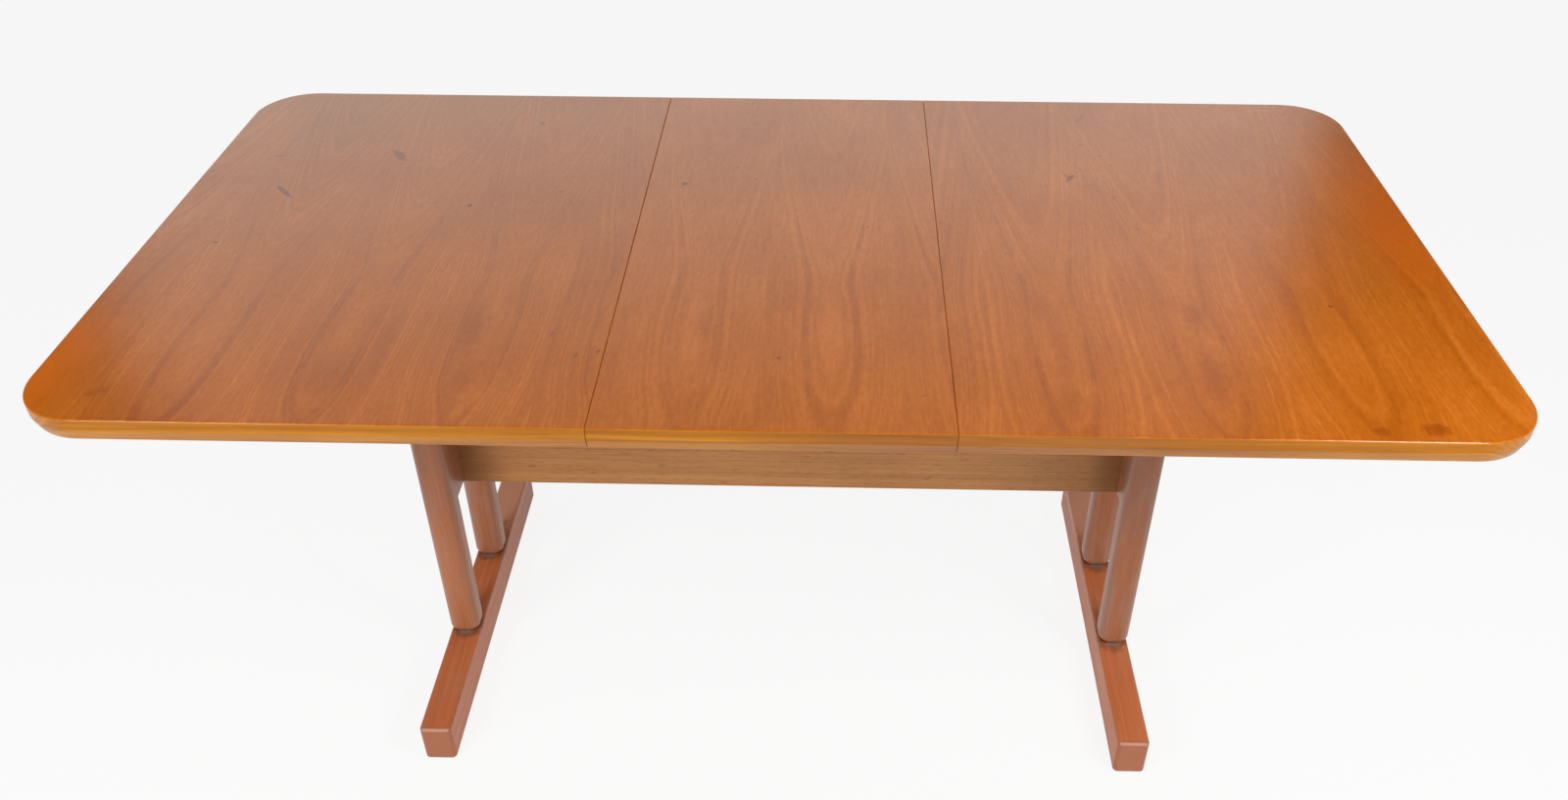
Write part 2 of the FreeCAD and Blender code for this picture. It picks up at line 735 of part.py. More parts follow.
def cut_for_veneer(piece):
    """Takes the veneer's thickness off the top of a lipping, once its edges are rounded."""
    x, y = half_length + size.overrun, half_width + size.overrun
    piece.pocket(piece.draw("XY", top).rectangle(-x, x, -y, y), size.veneer_thickness, -1)


def make_veneer(name, inner, outer, faces):
    """The veneer of a board, with the top of the rounding that it shares with the lippings."""
    piece = Piece(f"{name}_veneer")
    depth = size.lipping_arris + size.overrun
    outline = piece.draw("XY", top - depth).rectangle(outer, inner, -half_width, half_width)
    piece.pad(outline, depth)
    if at(outer.value, -half_length):
        piece.round_edges(size.corner_radius, corner_at(outer))
    piece.round_edges(size.lipping_arris, outline_at(top, length(0)))
    for face in faces:
        piece.bevel_edges(size.seam_arris, seam_edges(face))
    x, y = half_length + size.overrun, half_width + size.overrun
    below = piece.draw("XY", top - depth).rectangle(-x, x, -y, y)
    piece.pocket(below, depth - size.veneer_thickness)
    return piece


def make_side_lipping(half, side):
    """The lipping along one side of a half, with its share of the rounded corner."""
    piece = Piece(f"{ENDS[half]}_{side_name(half, side)}_lipping")
    outer = half_width * side
    straight = piece.draw("YZ", -seam)
    lipping_section(straight, outer, -side)
    piece.pad(straight, corner_x - seam, -1)
    bend = piece.draw("YZ", -corner_x)
    lipping_section(bend, outer, -side).axis(corner_y * side, lipping_under, top)
    piece.spin(bend, MITRE, side < 0)
    soften_lipping(piece)
    piece.bevel_edges(size.seam_arris, seam_edges(-seam))
    cut_for_veneer(piece)
    piece.place(degrees=0 if half < 0 else TURNED)


def make_end_lipping(half):
    """The lipping across the end of a half, up to the mitre in each rounded corner."""
    piece = Piece(f"{ENDS[half]}_end_lipping")
    outer = -half_length
    straight = piece.draw("XZ", -corner_y)
    lipping_section(straight, outer, 1)
    piece.pad(straight, corner_y * 2)
    for side in SIDES:
        bend = piece.draw("XZ", corner_y * side)
        lipping_section(bend, outer, 1).axis(-corner_x, lipping_under, top)
        piece.spin(bend, MITRE, side > 0)
    soften_lipping(piece)
    cut_for_veneer(piece)
    piece.place(degrees=0 if half < 0 else TURNED)


def make_panel(half):
    """The board of a half, rounded at its outer corners and bored from below."""
    piece = Piece(f"{ENDS[half]}_panel")
    outer = -(half_length - size.lipping_width)
    outline = piece.draw("XY", board_under).rectangle(outer, -seam, -board_edge, board_edge)
    piece.pad(outline, veneer_under - board_under)
    corner = size.corner_radius - size.lipping_width
    piece.round_edges(corner, corner_at(outer))
    screws = runner_screw_places(half) + batten_screw_places()
    depth = size.screw_bite + size.hole_spare
    piece.bore("XY", board_under, 1, screws, widened(size.screw_diameter), depth)
    screws = hook_screw_places(half)
    piece.bore("XY", board_under, 1, screws, widened(size.hook_screw_diameter), depth)
    pegs = [(y, peg_level) for y in peg_places]
    depth = size.peg_bite + size.hole_spare
    piece.bore("YZ", -seam, -1, pegs, widened(size.peg_diameter), depth)
    holes = [(-y, peg_level) for y in peg_places]
    depth = size.peg_reach + size.hole_spare
    piece.bore("YZ", -seam, -1, holes, widened(size.peg_diameter), depth)
    piece.place(degrees=0 if half < 0 else TURNED)


def runner_screw_places(half):
    """The screws of both runners, evenly spaced along the stretch under the half."""
    first = runner_outer + size.screw_edge
    last = -(seam + size.screw_edge)
    step = (last - first) / (RUNNER_SCREWS - 1)
    rows = [runner_places[half] * side for side in SIDES]
    return [(first + step * i, y) for y in rows for i in range(RUNNER_SCREWS)]


def batten_screw_places():
    """The screws of a batten, along its middle."""
    x = batten_outer + size.batten_width / 2
    return [(x, batten_y * share) for share in BATTEN_SCREW_SHARES]


def hook_screw_places(half):
    """The pivots of the left half's hooks, or the keepers of the right half, turned about."""
    inset = size.pivot_inset if half < 0 else size.keeper_inset
    return [(-(seam + inset), hook_y * side) for side in SIDES]


def make_runner(half, side):
    """A runner with a tongue that is left out over the travel of its stop pin."""
    y = runner_places[half] * side
    half_thick = size.runner_thickness / 2
    piece = Piece(f"{ENDS[half]}_runner_{side_name(half, side)}")
    outline = piece.draw("XY", runner_under)
    outline.rectangle(runner_outer, runner_inner, y - half_thick, y + half_thick)
    piece.pad(outline, size.runner_height)
    inward = side * half
    face = y + half_thick * inward
    low = tongue_middle - size.tongue_height / 2
    radius = size.stop_pin_diameter / 2
    gap_outer = -(size.stop_pin_place + radius + seam + size.stop_spare)
    gap_inner = -(size.stop_pin_place - radius - size.pull_travel - size.stop_spare)
    for start, finish in ((runner_outer, gap_outer), (gap_inner, runner_inner)):
        tongue = piece.draw("XY", low)
        edges = (face, face + (size.slide_gap + size.tongue_depth) * inward)
        tongue.rectangle(start, finish, *(edges if inward > 0 else edges[::-1]))
        piece.pad(tongue, size.tongue_height)
    screws = [place for place in runner_screw_places(half) if at(place[1].value, y)]
    through = size.runner_height + size.overrun
    piece.bore("XY", runner_under, 1, screws, widened(size.screw_diameter), through)
    sink = size.screw_head_height + size.screw_sink
    piece.bore("XY", runner_under, 1, screws, widened(size.screw_head_diameter), sink)
    piece.place(degrees=0 if half < 0 else TURNED)


def make_batten(half):
    """A bar across the outer end of a half that keeps the board flat."""
    piece = Piece(f"{ENDS[half]}_batten")
    outline = piece.draw("XY", batten_under)
    outline.rectangle(batten_outer, batten_outer + size.batten_width, -batten_y, batten_y)
    piece.pad(outline, size.batten_height)
    through = size.batten_height + size.overrun
    screws = batten_screw_places()
    piece.bore("XY", batten_under, 1, screws, widened(size.screw_diameter), through)
    sink = size.screw_head_height + size.screw_sink
    piece.bore("XY", batten_under, 1, screws, widened(size.screw_head_diameter), sink)
    piece.place(degrees=0 if half < 0 else TURNED)


def hook_screw(x, y):
    """A screw whose shank stands out of the board by a hook's thickness and clearance."""
    head = (size.hook_screw_head, size.hook_screw_head_height)
    start = hook_under - size.hook_gap - size.hook_screw_head_height
    shank = board_under + size.screw_bite - start - size.hook_screw_head_height
    return headed(head, (size.hook_screw_diameter, shank), (x, y, start), (0, 0, 1))


def make_half_fittings(half):
    """Screws and pegs of a half, and the pivots or keepers at its seam."""
    screws = []
    for x, y in runner_screw_places(half):
        x, y, z = turned((x, y, runner_under), half)
        screws.append(wood_screw(x, y, z, board_under))
    for x, y in batten_screw_places():
        x, y, z = turned((x, y, batten_under), half)
        screws.append(wood_screw(x, y, z, board_under))
    group(f"{ENDS[half]}_screws", screws)
    pegs = []
    for y in peg_places:
        place = turned((-(seam + size.peg_bite), y, peg_level), half)
        depth = size.peg_bite + size.peg_reach
        pegs.append(rod("Peg", size.peg_diameter, depth, place, (-half, 0, 0)))
    group(f"{ENDS[half]}_pegs", pegs)
    places = [turned((x, y, 0), half) for x, y in hook_screw_places(half)]
    name = "hook_pivots" if half < 0 else "keepers"
    group(f"{ENDS[half]}_{name}", [hook_screw(x, y) for x, y, _ in places])


# The leaf and the seam hooks


def make_leaf():
    """The loose leaf: a board slotted from below for the pegs, its lippings and veneer."""
    end = seam - size.seam_gap
    piece = Piece("leaf_panel")
    outline = piece.draw("XY", board_under).rectangle(-end, end, -board_edge, board_edge)
    piece.pad(outline, veneer_under - board_under)
    depth = size.peg_reach - size.seam_gap + size.hole_spare
    half_slot = size.peg_diameter / 2 + size.fit_gap
    height = peg_level + half_slot - board_under
    for half in ENDS:
        slots = piece.draw("XY", board_under)
        for share in peg_places:
            y = share * -half
            edges = (end * half - depth * half, (end + size.overrun) * half)
            slots.rectangle(*(edges if half > 0 else edges[::-1]), y - half_slot, y + half_slot)
        piece.pocket(slots, height)
    depth = size.screw_bite + size.hole_spare
    screws = leaf_keeper_places() + leaf_pivot_places()
    piece.bore("XY", board_under, 1, screws, widened(size.hook_screw_diameter), depth)
    for side in SIDES:
        piece = Piece(f"leaf_{SIDES[side]}_lipping")
        section = piece.draw("YZ", -end)
        lipping_section(section, half_width * side, -side)
        piece.pad(section, end * 2)
        soften_lipping(piece)
        for face in (-end, end):
            piece.bevel_edges(size.seam_arris, seam_edges(face))
        cut_for_veneer(piece)
    make_veneer("leaf", end, -end, (-end, end))
    group("leaf_keepers", [hook_screw(x, y) for x, y in leaf_keeper_places()])
    group("leaf_hook_pivots", [hook_screw(x, y) for x, y in leaf_pivot_places()])


def leaf_keeper_places():
    """The keepers at the leaf's left seam, one for each hook of the left half."""
    return [(-(seam - size.keeper_inset), hook_y * side) for side in SIDES]


def leaf_pivot_places():
    """The pivots of the leaf's own hooks, at its right seam."""
    return [(seam - size.pivot_inset, hook_y * side) for side in SIDES]


def make_hook(owner, pivot_x, side):
    """A flat hook, drawn as it lies when hooked and turned back to where it rests, undone."""
    half = size.hook_width / 2
    tip = hook_reach + size.hook_nose
    piece = Piece(f"{owner}_hook_{SIDES[side]}")
    piece.pad(piece.draw("XY", hook_under).rectangle(-half, tip, -half, half), size.hook_thickness)
    piece.round_edges(size.hook_end_round, upright)
    radius = size.hook_screw_diameter / 2 + size.hook_gap
    edges = (-radius * -side, (half + size.overrun) * -side)
    notch = piece.draw("XY", hook_under - size.overrun)
    near = hook_reach - radius - size.hook_swing_relief
    notch.rectangle(near, hook_reach + radius, *(edges if side < 0 else edges[::-1]))
    piece.pocket(notch, size.hook_thickness + size.overrun * 2)
    hole = size.hook_screw_diameter + size.hook_gap
    piece.bore("XY", hook_under, 1, [(0, 0)], hole, size.hook_thickness + size.overrun)
    piece.place(pivot_x, hook_y * side, QUARTER * side)


def check(part):
    """Stops if a feature failed, a cut took nothing, or a node's shape isn't whole."""
    for thing in part.Objects:
        if "Invalid" in thing.State or "Error" in thing.State:
            raise ValueError(f"{thing.Name} failed")
        if thing.TypeId == "PartDesign::Pocket":
            if thing.Shape.Volume > thing.BaseFeature.Shape.Volume - NEAR:
                raise ValueError(f"{thing.Name} cuts nothing")
    for node in nodes:
        if node.Shape.isNull() or not node.Shape.isValid():
            raise ValueError(f"{node.Label} has no valid shape")


def main():
    for end in ENDS:
        make_foot(end)
        for side in SIDES:
            make_column(end, side)
        make_cross_rail(end)
        make_bearer(end)
    make_stretcher()
    make_trestle_fittings()
    for side in SIDES:
        make_slide_rail(side)
    make_rail_tie()
    make_frame_fittings()
    for half in ENDS:
        make_panel(half)
        veneer = make_veneer(ENDS[half], -seam, -half_length, (-seam,))
        veneer.place(degrees=0 if half < 0 else TURNED)
        make_end_lipping(half)
        for side in SIDES:
            make_side_lipping(half, side)
            make_runner(half, side)
        make_batten(half)
        make_half_fittings(half)
    make_leaf()
    for side in SIDES:
        make_hook("left", -(seam + size.pivot_inset), side)
        make_hook("leaf", seam - size.pivot_inset, side)
    doc.recompute()
    check(doc)
    os.makedirs("parts", exist_ok=True)
    for node in nodes:
        node.Shape.exportStep(f"parts/{node.Label}.step")
        box = node.Shape.BoundBox
        print(
            f"{node.Label}: {len(node.Shape.Solids)} solids, {node.Shape.Volume / 1000:.1f} cm3, "
            f"X {box.XMin:.1f} {box.XMax:.1f}, Y {box.YMin:.1f} {box.YMax:.1f}, "
            f"Z {box.ZMin:.1f} {box.ZMax:.1f}"
        )


main()
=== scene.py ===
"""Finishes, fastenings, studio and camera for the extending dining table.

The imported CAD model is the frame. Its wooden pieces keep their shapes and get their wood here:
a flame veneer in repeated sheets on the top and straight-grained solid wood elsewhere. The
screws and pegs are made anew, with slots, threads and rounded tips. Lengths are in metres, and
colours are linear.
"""

from __future__ import annotations

import json
import logging
import math
from dataclasses import dataclass, field
from enum import Enum
from typing import Mapping, Sequence, Union

import bpy
import numpy as np
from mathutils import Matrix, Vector

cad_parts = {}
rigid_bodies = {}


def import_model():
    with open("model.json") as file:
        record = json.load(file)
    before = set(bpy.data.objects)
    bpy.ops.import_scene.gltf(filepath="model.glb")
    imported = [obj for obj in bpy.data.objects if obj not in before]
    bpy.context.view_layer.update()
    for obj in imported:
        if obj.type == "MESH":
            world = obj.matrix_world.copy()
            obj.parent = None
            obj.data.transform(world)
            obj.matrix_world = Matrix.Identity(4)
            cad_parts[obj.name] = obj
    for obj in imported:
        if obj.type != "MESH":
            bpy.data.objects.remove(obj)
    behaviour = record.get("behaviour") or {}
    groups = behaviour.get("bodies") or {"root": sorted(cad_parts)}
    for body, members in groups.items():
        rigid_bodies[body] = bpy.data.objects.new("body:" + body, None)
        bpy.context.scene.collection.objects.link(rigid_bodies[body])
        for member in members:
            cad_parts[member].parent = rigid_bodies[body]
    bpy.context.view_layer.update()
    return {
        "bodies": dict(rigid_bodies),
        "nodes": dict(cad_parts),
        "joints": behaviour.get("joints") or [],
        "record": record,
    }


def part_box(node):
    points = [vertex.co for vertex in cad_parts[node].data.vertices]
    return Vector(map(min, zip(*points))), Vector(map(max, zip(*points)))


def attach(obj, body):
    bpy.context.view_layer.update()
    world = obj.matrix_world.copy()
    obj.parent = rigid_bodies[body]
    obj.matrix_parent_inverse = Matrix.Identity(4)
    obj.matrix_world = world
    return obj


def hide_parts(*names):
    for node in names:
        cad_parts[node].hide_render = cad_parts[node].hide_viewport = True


LOG = logging.getLogger("extending_table")
WHITE = (1.0, 1.0, 1.0)
STOPS = (0.1, 0.5, 0.9)  # places of dark, middling and light wood on a colour ramp

Triple = tuple[float, float, float]
Operand = Union["Socket", float]
Feed = Union["Socket", float, Triple]
Skin = tuple[np.ndarray, list[list[int]]]


# Shader maths


class Socket:
    """An output of a shader node that takes part in Python sums as Math nodes."""

    def __init__(self, shader: "Shader", output: bpy.types.NodeSocket) -> None:
        """Wraps an output of a shader's node."""
        self.shader = shader
        self.output = output

    def maths(self, operation: str, *others: Operand) -> "Socket":
        """Puts this socket and the others through a Math node."""
        return self.shader.maths(operation, self, *others)

    def __add__(self, other: Operand) -> "Socket":
        """The sum."""
        return self.maths("ADD", other)

    def __sub__(self, other: Operand) -> "Socket":
        """The difference."""
        return self.maths("SUBTRACT", other)

    def __rsub__(self, other: float) -> "Socket":
        """A number less this socket."""
        return self.shader.maths("SUBTRACT", other, self)

    def __mul__(self, other: Operand) -> "Socket":
        """The product."""
        return self.maths("MULTIPLY", other)

    def __truediv__(self, other: Operand) -> "Socket":
        """The quotient."""
        return self.maths("DIVIDE", other)

    def __rtruediv__(self, other: float) -> "Socket":
        """A number over this socket."""
        return self.shader.maths("DIVIDE", other, self)

    def __neg__(self) -> "Socket":
        """The opposite."""
        return self * -1.0

    def __abs__(self) -> "Socket":
        """The size without its sign."""
        return self.maths("ABSOLUTE")

    __radd__ = __add__
    __rmul__ = __mul__

    def floor(self) -> "Socket":
        """The whole number below."""
        return self.maths("FLOOR")

    def root(self) -> "Socket":
        """The square root."""
        return self.maths("SQRT")

    def fade(self, low: float, high: float) -> "Socket":
        """Nought below low, one above high and an S curve between them.

        Args:
            low: Where the curve leaves nought.
            high: Where it reaches one.

        Returns:
            The faded value.
        """
        return self.shader.node(
            "ShaderNodeMapRange",
            {"interpolation_type": "SMOOTHSTEP"},
            {"Value": self, "From Min": low, "From Max": high},
        )


class Shader:
    """A node tree that grows by one node a call."""

    def __init__(self, tree: bpy.types.NodeTree) -> None:
        """Starts from an empty tree."""
        self.tree = tree
        tree.nodes.clear()

    def node(
        self,
        kind: str,
        settings: Mapping[str, object] | None = None,
        inputs: Mapping[str | int, Feed] | None = None,
        output: str | int = 0,
    ) -> Socket:
        """Adds a node.

        Args:
            kind: The node's type.
            settings: Its properties, and "stops" for the (place, colour) pairs of a ramp.
            inputs: Values or sockets for its inputs, by name or number.
            output: The output that is wanted.

        Returns:
            That output.
        """
        made = self.tree.nodes.new(kind)
        for name, value in (settings or {}).items():
            if name == "stops":
                self.set_stops(made.color_ramp, value)
            else:
                setattr(made, name, value)
        for name, value in (inputs or {}).items():
            self.feed(made.inputs[name], value)
        return Socket(self, made.outputs[output])

    def finish(self, surface: Socket, kind: str = "ShaderNodeOutputMaterial") -> None:
        """Ends the tree with a surface."""
        self.feed(self.tree.nodes.new(kind).inputs["Surface"], surface)

    def feed(self, target: bpy.types.NodeSocket, value: Feed) -> None:
        """Links a socket to an input, or sets the input's own value.

        Args:
            target: The input.
            value: A socket, a number or a colour.
        """
        if isinstance(value, Socket):
            self.tree.links.new(value.output, target)
        elif target.type == "RGBA":
            target.default_value = (*value, 1.0)
        else:
            target.default_value = value

    @staticmethod
    def set_stops(ramp: bpy.types.ColorRamp, stops: Sequence[tuple[float, Triple]]) -> None:
        """Puts (place, colour) pairs on a colour ramp that has two stops.

        Args:
            ramp: The colour ramp.
            stops: The pairs, in order of place.
        """
        for index, (place, colour) in enumerate(stops):
            stop = ramp.elements[index] if index < 2 else ramp.elements.new(place)
            stop.position = place
            stop.color = (*colour, 1.0)

    def maths(self, operation: str, *values: Operand) -> Socket:
        """A Math node on sockets and numbers."""
        return self.node("ShaderNodeMath", {"operation": operation}, dict(enumerate(values)))

    def mix(self, share: Operand, first: Feed, second: Feed) -> Socket:
        """A blend of two colours, from the first at nought to the second at one."""
        return self.node(
            "ShaderNodeMix", {"data_type": "RGBA"}, {0: share, 6: first, 7: second}, 2
        )

    def place(self, output: str = "Object") -> tuple[Socket, Socket, Socket]:
        """The coordinates of a point: of the piece in the table's frame, or as the output says.

        Args:
            output: The output of the Texture Coordinate node.

        Returns:
            X, Y and Z.
        """
        point = self.node("ShaderNodeTexCoord", output=output)
        return tuple(
            self.node("ShaderNodeSeparateXYZ", inputs={0: point}, output=i) for i in range(3)
        )

    def ray(self, kind: str) -> Socket:
        """One for a kind of ray, such as "Is Camera Ray", and nought for others."""
        return self.node("ShaderNodeLightPath", output=kind)

    def noise(self, point: Sequence[Operand], detail: float = 2.0, rough: float = 0.5) -> Socket:
        """Smooth noise round a half, with features about one unit wide.

        Args:
            point: Where the noise is read.
            detail: How many finer layers it has.
            rough: How strong the finer layers are.

        Returns:
            The noise.
        """
        vector = self.node("ShaderNodeCombineXYZ", inputs=dict(enumerate(point)))
        inputs = {"Vector": vector, "Scale": 1.0, "Detail": detail, "Roughness": rough}
        return self.node("ShaderNodeTexNoise", inputs=inputs)

    def ramp(self, value: Socket, tones: Sequence[Triple]) -> Socket:
        """The dark, middling or light tone for a value, or a tone between two of them."""
        return self.node("ShaderNodeValToRGB", {"stops": tuple(zip(STOPS, tones))}, {0: value})

    def coat(
        self, height: Socket, relief: float, strength: float, inputs: Mapping[str, Feed]
    ) -> None:
        """Ends the tree with a Principled surface in relief.

        Args:
            height: The pattern of the relief.
            relief: Its height.
            strength: How strongly it shows.
            inputs: The surface's other inputs, by name.
        """
        bump = self.node(
            "ShaderNodeBump",
            inputs={"Strength": strength, "Distance": relief, "Height": height},
            output="Normal",
        )
        self.finish(self.node("ShaderNodeBsdfPrincipled", inputs={**inputs, "Normal": bump}))


def new_material(name: str) -> tuple[bpy.types.Material, Shader]:
    """A material with an empty node tree.

    Args:
        name: The material's name.

    Returns:
        The material and its tree.
    """
    material = bpy.data.materials.new(name)
    material.use_nodes = True
    return material, Shader(material.node_tree)


# Finishes


@dataclass(frozen=True)
class Spot:
    """A stain, scratch, worn patch or patch of painted light or shade, as an oval that may be
    turned about the upright axis.

    Attributes:
        centre: Its middle.
        reach: Half its size along X, Y and Z before the turn. Nought means without limit.
        tone: Its colour.
        strength: How much of the wood it hides in its middle.
        turn: Its angle in degrees.
        core: The share of its radius that is fully covered.
        ragged: How far noise moves its outline, as a share of its radius.
    """

    centre: Triple
    reach: Triple
    tone: Triple
    strength: float
    turn: float = 0.0
    core: float = 0.5
    ragged: float = 0.35

    def cover(self, shader: Shader, point: Sequence[Socket]) -> Socket:
        """How much of the spot lies at a point: one less an S curve of the oval distance.

        Args:
            shader: The tree to build in.
            point: X, Y and Z of the point.

        Returns:
            The share of the wood that the spot hides there.
        """
        x, y, z = (value - middle for value, middle in zip(point, self.centre))
        cosine, sine = math.cos(math.radians(self.turn)), math.sin(math.radians(self.turn))
        turned = (x * cosine + y * sine, y * cosine - x * sine, z)
        total: Operand = 0.0
        for value, half in zip(turned, self.reach):
            if half:
                scaled = value / half
                total = scaled * scaled + total
        finest = 2.0 / min(half for half in self.reach if half)
        rough = shader.noise([value * finest for value in point], 1.0) - 0.5
        distance = total.root() + rough * (2.0 * self.ragged)
        return (1.0 - distance.fade(self.core, 1.0)) * self.strength

    def lay(self, shader: Shader, point: Sequence[Socket], colour: Socket) -> Socket:
        """The colour with the spot laid over it."""
        return shader.mix(self.cover(shader, point), colour, self.tone)


@dataclass(frozen=True)
class Varnish:
    """How a wooden surface shines, and how deep its grain is.

    Attributes:
        roughness: Roughness of the sealed wood.
        open_grain: Roughness that the pores add.
        relief: Height of the grain.
        shine: How much it mirrors, where a half is plain varnish.
    """

    roughness: float
    open_grain: float
    relief: float
    shine: float = 0.5

    def seal(self, shader: Shader, colour: Socket, fibre: Socket) -> None:
        """Ends a tree with the surface's colour, gloss and relief.

        Args:
            shader: The tree.
            colour: Colour of the wood.
            fibre: Height of its fibres, round a half.
        """
        gloss = (0.5 - fibre) * self.open_grain + self.roughness
        inputs = {"Base Color": colour, "Roughness": gloss, "Specular IOR Level": self.shine}
        shader.coat(fibre, self.relief, 1.0, inputs)


@dataclass(frozen=True)
class Layer:
    """A layer of noise in wood, stretched along the grain.

    Attributes:
        along: Features to a metre along the grain.
        across: Features to a metre across it.
        share: How much it changes the tone, or what else it moves.
        detail: How many finer layers it has.
        rough: How strong the finer layers are.
    """

    along: float
    across: float
    share: float = 1.0
    detail: float = 2.0
    rough: float = 0.5

    def in_sheet(self, shader: Shader, across: Socket, along: Socket, own: Operand) -> Socket:
        """The layer in a sheet of veneer.

        Args:
            shader: The tree to build in.
            across: The way across the grain.
            along: The way along it.
            own: A number that makes the noise the sheet's own.

        Returns:
            The noise.
        """
        point = (across * self.across, along * self.along, own)
        return shader.noise(point, self.detail, self.rough)

    def in_solid(
        self, shader: Shader, along: Socket, first: Socket, second: Socket, own: float = 0.0
    ) -> Socket:
        """The layer in solid wood.

        Args:
            shader: The tree to build in.
            along: The way along the grain.
            first: The first way across it.
            second: The second way across it.
            own: A number that makes the noise the piece's own.

        Returns:
            The noise.
        """
        point = (along * self.along, first * self.across, second * self.across + own)
        return shader.noise(point, self.detail, self.rough)


